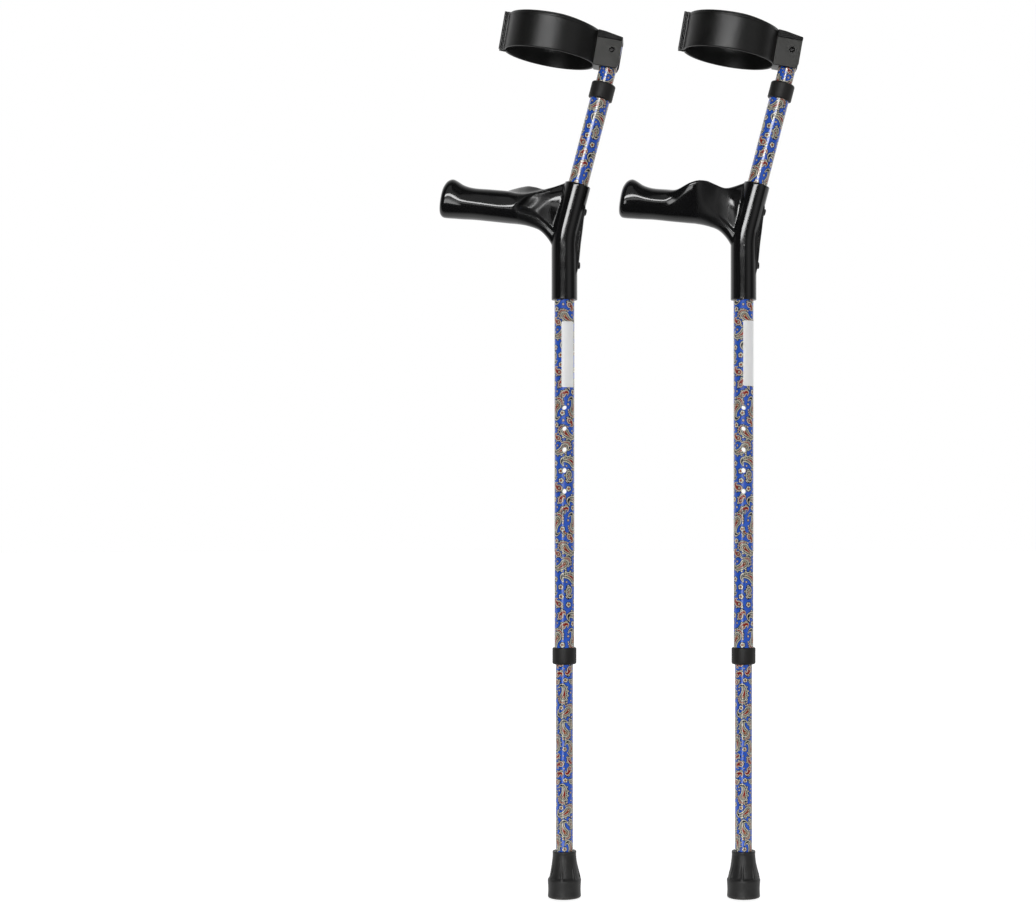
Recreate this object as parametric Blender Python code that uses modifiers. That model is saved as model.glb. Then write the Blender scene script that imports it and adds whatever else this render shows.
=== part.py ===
"""Pair of forearm crutches, built as two assemblies of separate pieces.

Units are metres, +Z is up and the floor is z = 0. The handles point along -X,
so a user faces -X. The crutch for the right hand stands at the smaller X and
the one for the left hand at the larger X. Their handles mirror each other.
Lengths in the tables below are millimetres and pass through mm().
"""
import math

import bmesh
import bpy
from mathutils import Matrix, Vector

# ------------------------------------------------------------ driving sizes
MM = 0.001
SPACING = 197.0            # between the two shafts
PAIR_SHIFT = 36.08         # puts the middle of the pair's box at x = 0

SIDES = 20                             # flats round the bent tube
TUBE_R, TUBE_BORE_R = 11.0, 9.8        # upper (outer) tube
INNER_R, INNER_BORE_R = 9.5, 8.3       # leg and stem tubes
BEND_DEG = 14.5                        # forearm part leans back by this
VERTEX_Z = 725.5                       # where the two axes of the bent tube meet
BEND_R = 85.0
TUBE_BOTTOM_Z = 262.0
TUBE_TOP_S = 168.5                     # along the forearm axis from the vertex

HOLE_R = 2.75
LEG_HOLE_PITCH = 23.0
LEG_HOLES = 7
LEG_HOLE_LOW_Z = 400.0
LEG_BUTTON_Z = 423.0
STEM_HOLE_PITCH = 12.0
STEM_HOLES = 7
STEM_HOLE_LOW_S = 78.0

LEG_BOTTOM_Z, LEG_TOP_Z = 12.6, 441.0
STEM_BOTTOM_S, STEM_TOP_S = 60.0, 218.0
COLLAR_R, COLLAR_H = 13.3, 18.5
LEG_COLLAR_Z = 256.0                   # its lower end
STEM_COLLAR_S = 156.0                  # its lower end

FERRULE_H = 51.0
FERRULE_BASE_R = 18.4
FERRULE_BORE_Z = 10.0

PIVOT_S = 210.0                        # cuff screw along the forearm axis
CUFF_DEG = 9.9                         # the cuff's own lean at rest
CUFF_A, CUFF_B = 51.5, 45.0            # outer half length and half width
CUFF_MID_U = -67.0
CUFF_WALL = 2.8
CUFF_LOW, CUFF_HIGH = -18.0, 22.0

SLEEVE_R = 14.25
SLEEVE_BORE_R = 11.42
SLEEVE_BOTTOM_Z = 656.0
SLEEVE_TOP_S = 59.0
GAP = 0.3


def mm(*v):
    return Vector([x * MM for x in v])


# ------------------------------------------------------------ scene start
for old in list(bpy.data.objects):
    bpy.data.objects.remove(old, do_unlink=True)

PARTS = bpy.data.collections.new("pair_of_forearm_crutches")
TOOLS = bpy.data.collections.new("cutters")
bpy.context.scene.collection.children.link(PARTS)
bpy.context.scene.collection.children.link(TOOLS)


def material(name, colour, rough, metal=0.0):
    m = bpy.data.materials.new(name)
    m.use_nodes = True
    b = m.node_tree.nodes["Principled BSDF"]
    b.inputs["Base Color"].default_value = (*colour, 1.0)
    b.inputs["Roughness"].default_value = rough
    b.inputs["Metallic"].default_value = metal
    m.diffuse_color = (*colour, 1.0)
    return m


MATS = {
    "printed": material("printed_tube", (0.07, 0.13, 0.48), 0.18, 0.1),
    "gloss": material("gloss_black_plastic", (0.012, 0.012, 0.013), 0.16),
    "satin": material("charcoal_plastic", (0.03, 0.03, 0.03), 0.45),
    "rubber": material("grey_rubber", (0.055, 0.055, 0.055), 0.75),
    "steel": material("plated_steel", (0.55, 0.55, 0.56), 0.3, 1.0),
    "spring": material("spring_steel", (0.35, 0.36, 0.38), 0.35, 1.0),
}


# ------------------------------------------------------------ helpers
def put(ob, parent=None, at=(0, 0, 0), turn=(0, 0, 0)):
    """Place an object under a parent empty: at in millimetres, turn in degrees."""
    ob.parent = parent
    ob.location = mm(*at)
    ob.rotation_euler = [math.radians(a) for a in turn]
    return ob


def link(name, mesh, look=None, cutter=False):
    ob = bpy.data.objects.new(name, mesh)
    (TOOLS if cutter else PARTS).objects.link(ob)
    if cutter:
        ob.hide_render = True
        ob.display_type = "WIRE"
    elif look:
        mesh.materials.append(MATS[look])
        smooth(mesh)
    return ob


def smooth(mesh, degrees=35.0):
    mesh.shade_smooth()
    mesh.set_sharp_from_angle(angle=math.radians(degrees))


def empty(name, parent, at=(0, 0, 0), turn=(0, 0, 0)):
    ob = bpy.data.objects.new(name, None)
    ob.empty_display_size = 0.02
    PARTS.objects.link(ob)
    return put(ob, parent, at, turn)


def from_bmesh(name, bm, look=None, cutter=False):
    bmesh.ops.recalc_face_normals(bm, faces=bm.faces)
    mesh = bpy.data.meshes.new(name)
    bm.to_mesh(mesh)
    bm.free()
    return link(name, mesh, look, cutter)


def turned(name, outer, steps, look=None, cutter=False):
    """A turned solid: outer is a list of (radius, height), top to bottom on
    the outer side and back up a bore, closed on itself or ending on the axis."""
    mesh = bpy.data.meshes.new(name)
    pts = [(r * MM, 0.0, z * MM) for r, z in outer]
    edges = [(i, i + 1) for i in range(len(pts) - 1)]
    if outer[0][0] > 1e-6:
        edges.append((len(pts) - 1, 0))
    mesh.from_pydata(pts, edges, [])
    ob = link(name, mesh, look, cutter)
    mod = ob.modifiers.new("turn", "SCREW")
    mod.axis = "Z"
    mod.angle = math.tau
    mod.steps = steps
    mod.render_steps = steps
    mod.use_merge_vertices = True
    mod.merge_threshold = 0.00001
    mod.use_smooth_shade = True
    return ob


def tube_mesh(name, pts, radius, sides):
    """A round bar along a polyline, as a mesh with welded caps."""
    curve = bpy.data.curves.new(name, "CURVE")
    curve.dimensions = "3D"
    curve.twist_mode = "MINIMUM"
    curve.bevel_depth = radius * MM
    curve.bevel_resolution = (sides - 4) // 2
    curve.use_fill_caps = True
    line = curve.splines.new("POLY")
    line.points.add(len(pts) - 1)
    for p, co in zip(line.points, pts):
        p.co = (*mm(*co), 1.0)
    ob = bpy.data.objects.new(name + "_path", curve)
    TOOLS.objects.link(ob)
    bpy.context.view_layer.update()
    shape = bpy.data.meshes.new_from_object(
        ob.evaluated_get(bpy.context.evaluated_depsgraph_get())
    )
    place = ob.matrix_world.copy()
    bpy.data.objects.remove(ob, do_unlink=True)
    bpy.data.curves.remove(curve)
    bm = bmesh.new()
    bm.from_mesh(shape)
    bpy.data.meshes.remove(shape)
    bmesh.ops.remove_doubles(bm, verts=bm.verts, dist=0.000005)
    bmesh.ops.recalc_face_normals(bm, faces=bm.faces)
    mesh = bpy.data.meshes.new(name)
    bm.to_mesh(mesh)
    bm.free()
    return mesh, place


def tube_object(name, pts, radius, sides, look=None, cutter=False):
    mesh, place = tube_mesh(name, pts, radius, sides)
    ob = link(name, mesh, look, cutter)
    ob.matrix_world = place
    return ob


def cylinder_into(bm, radius, length, centre, axis, sides=8):
    """Add a closed cylinder, centred, along an axis, to a bmesh."""
    turn = Vector((0, 0, 1)).rotation_difference(Vector(axis).normalized())
    bmesh.ops.create_cone(
        bm,
        cap_ends=True,
        segments=sides,
        radius1=radius * MM,
        radius2=radius * MM,
        depth=length * MM,
        matrix=Matrix.Translation(mm(*centre)) @ turn.to_matrix().to_4x4(),
    )


def cylinders(name, rows, sides=8):
    """One cutter made of separate cylinders: rows of (radius, length, centre, axis)."""
    bm = bmesh.new()
    for radius, length, centre, axis in rows:
        cylinder_into(bm, radius, length, centre, axis, sides)
    return from_bmesh(name, bm, cutter=True)


def box(name, low, high, look=None, cutter=False):
    bm = bmesh.new()
    mid = [(a + b) / 2 for a, b in zip(low, high)]
    size = [b - a for a, b in zip(low, high)]
    bmesh.ops.create_cube(
        bm,
        size=1.0,
        matrix=Matrix.Translation(mm(*mid)) @ Matrix.Diagonal((*[s * MM for s in size], 1)),
    )
    return from_bmesh(name, bm, look, cutter)


def slab(name, outline, low, high, along, look=None, cutter=False):
    """A flat outline given a thickness: a 2D curve, filled and extruded both
    ways, then made a mesh. along is the extrusion's axis, 'x', 'y' or 'z', and
    outline gives the other two coordinates in X, Y, Z order."""
    curve = bpy.data.curves.new(name, "CURVE")
    curve.dimensions = "2D"
    curve.fill_mode = "BOTH"
    curve.extrude = (high - low) / 2 * MM
    line = curve.splines.new("POLY")
    line.points.add(len(outline) - 1)
    for p, (a, b) in zip(line.points, outline):
        p.co = (a * MM, b * MM, 0.0, 1.0)
    line.use_cyclic_u = True
    ob = bpy.data.objects.new(name + "_outline", curve)
    middle = (high + low) / 2 * MM
    quarter = math.pi / 2
    if along == "x":
        ob.rotation_euler = (quarter, 0.0, quarter)
        ob.location = (middle, 0.0, 0.0)
    elif along == "y":
        ob.rotation_euler = (quarter, 0.0, 0.0)
        ob.location = (0.0, middle, 0.0)
    else:
        ob.location = (0.0, 0.0, middle)
    TOOLS.objects.link(ob)
    bpy.context.view_layer.update()
    shape = bpy.data.meshes.new_from_object(
        ob.evaluated_get(bpy.context.evaluated_depsgraph_get())
    )
    shape.transform(ob.matrix_world)
    bpy.data.objects.remove(ob, do_unlink=True)
    bpy.data.curves.remove(curve)
    bm = bmesh.new()
    bm.from_mesh(shape)
    bpy.data.meshes.remove(shape)
    bmesh.ops.remove_doubles(bm, verts=bm.verts, dist=0.000005)
    return from_bmesh(name, bm, look, cutter)


def boolean(ob, other, how="DIFFERENCE"):
    mod = ob.modifiers.new(how.lower(), "BOOLEAN")
    mod.operation = how
    mod.object = other
    mod.solver = "EXACT"
    return mod


def strip_outline(pts, thick):
    """The outline of a bent strip of sheet whose centre line is pts."""
    left, right = [], []
    for i, p in enumerate(pts):
        a = Vector(pts[max(i - 1, 0)])
        b = Vector(pts[min(i + 1, len(pts) - 1)])
        d = (b - a).normalized()
        n = Vector((-d.y, d.x)) * thick / 2
        left.append((p[0] + n.x, p[1] + n.y))
        right.append((p[0] - n.x, p[1] - n.y))
    return left + right[::-1]


def ring_loft(name, rings, look=None, cutter=False):
    """A closed solid through rings of equal point count, with flat ends."""
    bm = bmesh.new()
    made = [[bm.verts.new(mm(*p)) for p in ring] for ring in rings]
    n = len(made[0])
    for a, b in zip(made, made[1:]):
        for i in range(n):
            j = (i + 1) % n
            bm.faces.new((a[i], a[j], b[j], b[i]))
    bm.faces.new(made[0][::-1])
    bm.faces.new(made[-1])
    return from_bmesh(name, bm, look, cutter)


# ------------------------------------------------------------ the bent axis
TILT = math.radians(BEND_DEG)


def along(s, side=0.0):
    """A point of the forearm axis at s from the vertex, moved back by side."""
    return (
        s * math.sin(TILT) + side * math.cos(TILT),
        0.0,
        VERTEX_Z + s * math.cos(TILT) - side * math.sin(TILT),
    )


def bent_path(z_low, s_high, steps=6):
    """Straight shaft, round bend, straight forearm part."""
    reach = BEND_R * math.tan(TILT / 2)
    pts = [(0.0, 0.0, z_low)]
    for i in range(steps + 1):
        a = TILT * i / steps
        pts.append(
            (
                BEND_R * (1 - math.cos(a)),
                0.0,
                VERTEX_Z - reach + BEND_R * math.sin(a),
            )
        )
    pts.append(along(s_high))
    return pts


# ------------------------------------------------------------ handle sections
# x, z of the top, z of the bottom, half width inside, half width outside
GRIP = [
    (-135.8, 775.5, 757.0, 8.5, 8.5),
    (-134.2, 782.0, 751.0, 14.0, 14.0),
    (-130.8, 787.0, 747.5, 17.8, 17.8),
    (-125.5, 789.0, 746.5, 19.2, 19.2),
    (-119.0, 786.6, 746.0, 18.4, 18.4),
    (-111.0, 782.3, 745.4, 16.8, 16.8),
    (-99.0, 779.2, 744.8, 15.6, 15.8),
    (-80.0, 777.8, 742.9, 14.9, 15.8),
    (-62.0, 776.3, 741.2, 14.4, 17.6),
    (-50.0, 774.2, 740.0, 13.4, 17.6),
    (-38.0, 774.4, 737.4, 12.0, 15.4),
    (-27.0, 776.8, 732.8, 10.4, 12.2),
    (-18.0, 779.2, 723.5, 9.6, 10.3),
    (-10.0, 781.6, 710.5, 9.3, 9.6),
    (2.0, 785.8, 700.0, 9.0, 9.0),
]
TIP_LEAN = 0.16            # the end of the grip leans back by this slope


def grip_ring(row, lateral, count=16):
    x, top, bottom, inside, outside = row
    mid, half = (top + bottom) / 2, (top - bottom) / 2
    lean = TIP_LEAN * min(1.0, max(0.0, (-100.0 - x) / 25.0))
    ring = []
    for i in range(count):
        a = math.tau * i / count
        c, s = math.cos(a), math.sin(a)
        e = 2 / 2.25
        cy = math.copysign(abs(c) ** e, c)
        sz = math.copysign(abs(s) ** e, s)
        w = outside if c > 0 else inside
        ring.append((x + lean * half * sz, lateral * w * cy, mid + half * sz))
    return ring


def round_screw(name, head_r, head_h, shank_r, length, look="steel"):
    """Pan-head screw along +Z: the head's seat is z = 0, the shank goes down."""
    ob = turned(
        name,
        [
            (0.0, head_h),
            (head_r * 0.55, head_h * 0.92),
            (head_r * 0.9, head_h * 0.55),
            (head_r, 0.0),
            (shank_r, 0.0),
            (shank_r, -length + shank_r * 1.2),
            (shank_r * 0.35, -length),
            (0.0, -length),
        ],
        12,
        look,
    )
    return ob


def cross_recess(name, size, depth, head_h):
    """A plus-shaped cutter that sinks depth into a head of height head_h."""
    a, b = size / 2, size * 0.12
    plus = [
        (a, b), (b, b), (b, a), (-b, a), (-b, b), (-a, b),
        (-a, -b), (-b, -b), (-b, -a), (b, -a), (b, -b), (a, -b),
    ]
    c, d = math.cos(math.radians(20)), math.sin(math.radians(20))
    plus = [(c * x - d * y, d * x + c * y) for x, y in plus]
    return slab(name, plus, head_h - depth, head_h + 2.0, "z", cutter=True)


def stepped_cutter(name, big_r, small_r, step_z, top, bottom, steps=20):
    """A counterbored hole along +Z: big_r above step_z, small_r below it."""
    return turned(
        name,
        [
            (0.0, top),
            (big_r, top),
            (big_r, step_z),
            (small_r, step_z),
            (small_r, bottom),
            (0.0, bottom),
        ],
        steps,
        cutter=True,
    )


def snap_button(name, steps=14):
    """Pip along +Z, the outward way: its flange sits inside the tube wall."""
    return turned(
        name,
        [
            (0.0, 14.3),
            (1.3, 13.95),
            (2.1, 13.1),
            (2.35, 12.0),
            (2.35, 7.6),
            (3.3, 7.35),
            (3.3, 6.3),
            (0.0, 6.3),
        ],
        steps,
        "steel",
    )


# ------------------------------------------------------------ one crutch
def crutch(prefix, x0, lateral):
    """Build one crutch with its shaft at x0. lateral is +1 or -1: the side of
    the shaft, in Y, on which the palm rest bulges out."""
    root = empty(prefix + "_crutch_axis", None, (x0, 0, 0))
    lean = empty(prefix + "_forearm_axis", root, (0, 0, VERTEX_Z), (0, BEND_DEG, 0))
    leg_axis = empty(prefix + "_leg_axis", root)
    pivot = along(PIVOT_S)
    cuff_axis = empty(prefix + "_cuff_pivot_axis", root, pivot, (0, CUFF_DEG, 0))

    # -------------------------------------------------- upper tube
    path = bent_path(TUBE_BOTTOM_Z, TUBE_TOP_S)
    tube = put(
        tube_object(prefix + "_upper_tube", path, TUBE_R, SIDES, "printed"), root
    )
    bore_path = bent_path(TUBE_BOTTOM_Z - 8, TUBE_TOP_S + 8)
    bore = put(
        tube_object(prefix + "_tube_bore_cutter", bore_path, TUBE_BORE_R, SIDES, cutter=True),
        root,
    )
    boolean(tube, bore)
    rows = [
        (HOLE_R, 40, (0, 0, LEG_HOLE_LOW_Z + LEG_HOLE_PITCH * k), (0, 1, 0))
        for k in range(LEG_HOLES)
    ]
    back = (math.cos(TILT), 0.0, -math.sin(TILT))
    for k in range(STEM_HOLES):
        x, _, z = along(STEM_HOLE_LOW_S + STEM_HOLE_PITCH * k)
        rows.append((HOLE_R, 14, (x, 10.0, z), (0, 1, 0)))
    # the two handle screws go through the back wall only
    rows.append((2.4, 12, along(32.0, 8.0), back))
    rows.append((2.4, 12, (8.0, 0, 694.5), (1, 0, 0)))
    holes = put(cylinders(prefix + "_tube_hole_cutter", rows), root)
    boolean(tube, holes)

    # -------------------------------------------------- collars
    def collar(name, flip):
        """Step bore: the outer tube's end sits on a shoulder above the inner tube."""
        h, r = COLLAR_H, COLLAR_R
        prof = [
            (r - 0.5, h),
            (r, h - 0.5),
            (r, 2.6),
            (r - 0.8, 0.8),
            (r - 2.6, 0.0),
            (9.88, 0.0),
            (9.88, 5.6),
            (11.45, 5.6),
            (11.45, h),
        ]
        if flip:
            prof = [(a, h - b) for a, b in prof][::-1]
        return turned(name, prof, 24, "satin")

    put(collar(prefix + "_leg_collar", False), root, (0, 0, LEG_COLLAR_Z))
    put(collar(prefix + "_stem_collar", True), lean, (0, 0, STEM_COLLAR_S))

    # -------------------------------------------------- leg tube
    def pipe(name, low, high, steps=24):
        return turned(
            name,
            [
                (INNER_R, high),
                (INNER_R, low),
                (INNER_BORE_R, low),
                (INNER_BORE_R, high),
            ],
            steps,
            "printed",
        )

    leg = put(pipe(prefix + "_leg_tube", LEG_BOTTOM_Z, LEG_TOP_Z), leg_axis)
    leg_hole = put(
        cylinders(
            prefix + "_leg_hole_cutter", [(HOLE_R, 8, (0, -9.0, LEG_BUTTON_Z), (0, 1, 0))]
        ),
        leg_axis,
    )
    boolean(leg, leg_hole)

    # -------------------------------------------------- stem tube
    stem = put(pipe(prefix + "_stem_tube", STEM_BOTTOM_S, STEM_TOP_S), lean)
    stem_holes = put(
        cylinders(
            prefix + "_stem_hole_cutter",
            [
                (HOLE_R, 8, (0, 9.0, STEM_HOLE_LOW_S), (0, 1, 0)),
                (2.0, 30, (0, 0, PIVOT_S), (0, 1, 0)),
            ],
        ),
        lean,
    )
    boolean(stem, stem_holes)

    # -------------------------------------------------- buttons and springs
    put(snap_button(prefix + "_leg_snap_button"), leg_axis, (0, 0, LEG_BUTTON_Z), (90, 0, 0))
    put(snap_button(prefix + "_stem_snap_button"), lean, (0, 0, STEM_HOLE_LOW_S), (-90, 0, 0))

    def hairpin():
        """Centre line of the spring in (across, along) with the pip's side at
        negative across and the bend at the far end."""
        pts = [(-5.75, 5.0), (-5.75, 0.0), (-5.75, -6.0), (-5.2, -16.0), (-4.2, -26.0)]
        for i in range(1, 8):
            a = math.pi * i / 8
            pts.append((-4.2 + 4.2 - 4.2 * math.cos(a) + 0.0, -26.0 - 4.2 * math.sin(a)))
        pts += [(4.2, -26.0), (5.6, -14.0), (6.9, -2.0), (6.9, 8.0)]
        return pts

    outline = strip_outline(hairpin(), 0.6)
    spring = slab(prefix + "_leg_button_spring", outline, -2.9, 2.9, "x", "spring")
    put(spring, leg_axis, (0, 0, LEG_BUTTON_Z))
    outline = strip_outline([(-a, -b) for a, b in hairpin()], 0.6)
    spring = slab(prefix + "_stem_button_spring", outline, -2.9, 2.9, "x", "spring")
    put(spring, lean, (0, 0, STEM_HOLE_LOW_S))

    # -------------------------------------------------- rubber foot
    r = FERRULE_BASE_R
    foot = turned(
        prefix + "_ferrule",
        [
            (12.6, FERRULE_H),
            (13.1, FERRULE_H - 0.6),
            (13.3, FERRULE_H - 7.0),
            (14.4, 34.0),
            (15.8, 26.5),
            (16.8, 23.2),
            (r - 0.4, 21.2),
            (r, 19.6),
            (r - 0.3, 2.0),
            (r - 1.4, 0.0),
            (0.0, 0.0),
            (0.0, FERRULE_BORE_Z),
            (9.92, FERRULE_BORE_Z),
            (9.92, FERRULE_H),
        ],
        28,
        "rubber",
    )
    put(foot, leg_axis)
    washer = turned(
        prefix + "_ferrule_washer",
        [(9.0, 12.3), (9.0, 10.3), (2.5, 10.3), (2.5, 12.3)],
        20,
        "steel",
    )
    put(washer, leg_axis)

    # -------------------------------------------------- handle
    grip = ring_loft(
        prefix + "_handle", [grip_ring(row, lateral) for row in GRIP], "gloss"
    )
    put(grip, root)
    bm = bmesh.new()
    bmesh.ops.create_uvsphere(
        bm,
        u_segments=16,
        v_segments=10,
        radius=1.0,
        matrix=Matrix.Translation(mm(-47.0, 12.5 * lateral, 765.4))
        @ Matrix.Diagonal((0.0335, 0.0160, 0.0188, 1)),
    )
    palm = put(from_bmesh(prefix + "_palm_rest_shape", bm, cutter=True), root)
    boolean(grip, palm, "UNION")
    sleeve = put(
        tube_object(
            prefix + "_sleeve_shape",
            bent_path(SLEEVE_BOTTOM_Z, SLEEVE_TOP_S),
            SLEEVE_R,
            SIDES,
            cutter=True,
        ),
        root,
    )
    boolean(grip, sleeve, "UNION")
    spine = put(
        slab(
            prefix + "_spine_shape",
            [
                (8.0, 684.0),
                (13.6, 684.0),
                (15.2, 691.0),
                (16.6, 701.0),
                (18.2, 718.0),
                (20.0, 731.5),
                (21.5, 744.5),
                (23.6, 758.5),
                (20.0, 762.0),
                (14.0, 745.0),
                (8.0, 720.0),
            ],
            -5.5,
            5.5,
            "y",
            cutter=True,
        ),
        root,
    )
    boolean(grip, spine, "UNION")
    sleeve_bore = put(
        tube_object(
            prefix + "_sleeve_bore_cutter",
            bent_path(SLEEVE_BOTTOM_Z - 8, SLEEVE_TOP_S + 8),
            SLEEVE_BORE_R,
            SIDES,
            cutter=True,
        ),
        root,
    )
    boolean(grip, sleeve_bore)
    screw_seats = (
        ("_handle_screw_upper", along(32.0, 15.7), 90.0 + BEND_DEG),
        ("_handle_screw_lower", (15.2, 0, 694.5), 90.0),
    )
    for name, at, turn in screw_seats:
        seat = stepped_cutter(prefix + name + "_seat_cutter", 4.3, 2.4, -0.3, 6.0, -8.0, 16)
        put(seat, root, at, (0, turn, 0))
        boolean(grip, seat)

    # -------------------------------------------------- handle screws
    for name, at, turn in screw_seats:
        screw = put(round_screw(prefix + name, 3.9, 2.2, 2.0, 11.5), root, at, (0, turn, 0))
        cut = put(cross_recess(prefix + name + "_recess", 3.6, 1.3, 2.2), root, at, (0, turn, 0))
        boolean(screw, cut)

    # -------------------------------------------------- cuff
    count = 46
    start = math.asin(3.6 / CUFF_B)
    bm = bmesh.new()
    rows = []
    for i in range(count + 1):
        a = start + (math.tau - 2 * start) * i / count
        u = CUFF_MID_U - CUFF_A * math.cos(a)
        y = CUFF_B * math.sin(a)
        f = min(1.0, max(0.0, (u + 62.0) / 46.0))
        high = CUFF_HIGH - 2.6 * f * f * (3 - 2 * f)
        rows.append([bm.verts.new(mm(u, y, v)) for v in (CUFF_LOW, high)])
    for a, b in zip(rows, rows[1:]):
        bm.faces.new((a[0], b[0], b[1], a[1]))
    mesh = bpy.data.meshes.new(prefix + "_cuff")
    bm.to_mesh(mesh)
    bm.free()
    cuff = put(link(prefix + "_cuff", mesh, "satin"), cuff_axis)
    # face normals of this strip point outward or inward by its winding, so the
    # thickness is sent inward by its sign
    middle = mesh.polygons[count // 4]
    outward = Vector((middle.center.x - CUFF_MID_U * MM, middle.center.y, 0.0))
    shell = cuff.modifiers.new("wall", "SOLIDIFY")
    shell.thickness = CUFF_WALL * MM
    shell.offset = -1.0 if middle.normal.dot(outward) > 0 else 1.0
    shell.use_even_offset = True

    block = put(
        slab(
            prefix + "_cuff_block_shape",
            [
                (-18.4, -19.2),
                (5.8, -19.2),
                (9.7, -13.0),
                (9.7, 15.0),
                (-10.0, 18.6),
                (-18.4, 19.3),
            ],
            -13.0,
            13.0,
            "y",
            cutter=True,
        ),
        cuff_axis,
    )
    boolean(cuff, block, "UNION")
    plate = put(
        slab(
            prefix + "_cuff_plate_shape",
            [(-18.2, 11.4), (9.9, 11.4), (9.9, 15.2), (-10.0, 18.8), (-18.2, 19.5)],
            -14.4,
            14.4,
            "y",
            cutter=True,
        ),
        cuff_axis,
    )
    boolean(cuff, plate, "UNION")
    for side, tag in ((-1, "near"), (1, "far")):
        lip = put(
            box(
                prefix + "_cuff_lip_shape_" + tag,
                (-123.4, min(side * 3.0, side * 5.9), CUFF_LOW - 0.4),
                (-116.6, max(side * 3.0, side * 5.9), CUFF_HIGH + 1.2),
                cutter=True,
            ),
            cuff_axis,
        )
        boolean(cuff, lip, "UNION")
    slot = put(
        box(
            prefix + "_cuff_slot_cutter", (-11.35, -9.95, -30.0), (20.0, 9.95, 10.9), cutter=True
        ),
        cuff_axis,
    )
    boolean(cuff, slot)
    pivot_hole = put(
        stepped_cutter(prefix + "_cuff_pivot_cutter", 2.95, 2.0, 11.0, 20.0, -20.0),
        cuff_axis,
        turn=(90, 0, 0),
    )
    boolean(cuff, pivot_hole)

    # -------------------------------------------------- cuff screw and nut
    screw = put(
        turned(
            prefix + "_cuff_pivot_screw",
            [
                (0.0, 1.6),
                (1.5, 1.5),
                (2.3, 0.95),
                (2.65, 0.0),
                (1.75, 0.0),
                (1.75, -27.6),
                (1.4, -28.0),
                (0.0, -28.0),
            ],
            20,
            "steel",
        ),
        cuff_axis,
        (0, -11.3, 0),
        (90, 0, 0),
    )
    recess = put(
        cross_recess(prefix + "_cuff_pivot_screw_recess", 2.5, 1.1, 1.6),
        cuff_axis,
        (0, -11.3, 0),
        (90, 45, 0),
    )
    boolean(screw, recess)
    bm = bmesh.new()
    bmesh.ops.create_cone(
        bm,
        cap_ends=True,
        segments=6,
        radius1=4.04 * MM,
        radius2=4.04 * MM,
        depth=3.0 * MM,
    )
    nut = put(from_bmesh(prefix + "_cuff_pivot_nut", bm, "steel"), cuff_axis, (0, 14.8, 0), (90, 0, 0))
    nut_bore = put(
        cylinders(prefix + "_nut_bore_cutter", [(1.95, 10, (0, 14.8, 0), (0, 1, 0))], 16),
        cuff_axis,
    )
    boolean(nut, nut_bore)


crutch("right", PAIR_SHIFT - SPACING / 2, 1)
crutch("left", PAIR_SHIFT + SPACING / 2, -1)
bpy.context.view_layer.update()
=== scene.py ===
"""Looks of the pair of forearm crutches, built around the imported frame.

Lengths are millimetres in the crutch's own frame, with the shaft's axis at x = 0,
and become metres in the shared frame when a mesh is made. right_ is the crutch
for the right hand, which stands at the smaller X, and left_ its mirror image.
"""
import math
import random

import bmesh
import bpy
import numpy as np
from mathutils import Matrix, Vector


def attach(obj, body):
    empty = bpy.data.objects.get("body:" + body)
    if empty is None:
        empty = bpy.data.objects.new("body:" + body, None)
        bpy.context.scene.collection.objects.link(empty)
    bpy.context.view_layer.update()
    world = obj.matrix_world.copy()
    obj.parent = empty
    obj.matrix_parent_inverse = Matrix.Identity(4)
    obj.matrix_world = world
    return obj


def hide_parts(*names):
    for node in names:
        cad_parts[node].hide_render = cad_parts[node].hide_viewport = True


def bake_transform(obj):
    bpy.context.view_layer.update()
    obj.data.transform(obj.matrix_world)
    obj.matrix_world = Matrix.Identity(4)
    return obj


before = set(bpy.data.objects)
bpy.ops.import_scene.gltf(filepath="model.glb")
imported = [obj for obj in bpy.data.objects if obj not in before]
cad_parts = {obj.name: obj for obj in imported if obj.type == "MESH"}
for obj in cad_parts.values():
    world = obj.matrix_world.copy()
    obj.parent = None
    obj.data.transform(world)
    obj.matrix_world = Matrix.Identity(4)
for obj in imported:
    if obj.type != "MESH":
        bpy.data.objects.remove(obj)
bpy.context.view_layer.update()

MM = 0.001
X0 = {"right": -62.42, "left": 134.58}
PAIR = (("right", 1), ("left", -1))     # the second value is the palm rest's side in Y

TUBE_R, TUBE_BORE_R = 11.0, 9.8
INNER_R, INNER_BORE_R = 9.5, 8.3
TILT = math.radians(14.5)
VERTEX_Z = 725.5
BEND_R = 85.0
REACH = BEND_R * math.tan(TILT / 2)
ARC_Z = VERTEX_Z - REACH                # where the bend begins
HOLE_R = 2.75
LEG_HOLES = [400.0 + 23.0 * k for k in range(7)]
STEM_HOLES = [78.0 + 12.0 * k for k in range(7)]
LEG_BUTTON_Z = 423.0
STEM_BUTTON_S = 78.0
PIVOT_S = 210.0
CUFF_LEAN = math.radians(9.9)
SCENE = bpy.context.scene.collection


# ------------------------------------------------------------ mesh helpers
def along(s, side=0.0):
    """A point of the forearm axis at s from the vertex, moved back by side."""
    return (
        s * math.sin(TILT) + side * math.cos(TILT),
        0.0,
        VERTEX_Z + s * math.cos(TILT) - side * math.sin(TILT),
    )


def new_object(name, me, mats=()):
    ob = bpy.data.objects.new(name, me)
    SCENE.objects.link(ob)
    for m in mats:
        me.materials.append(m)
    return ob


def mesh_object(name, verts, faces, mats=()):
    """Vertices in millimetres."""
    me = bpy.data.meshes.new(name)
    me.from_pydata([(x * MM, y * MM, z * MM) for x, y, z in verts], [], faces)
    me.update()
    return new_object(name, me, mats)


def outward(ob):
    bm = bmesh.new()
    bm.from_mesh(ob.data)
    bmesh.ops.recalc_face_normals(bm, faces=bm.faces)
    bm.to_mesh(ob.data)
    bm.free()


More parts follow.
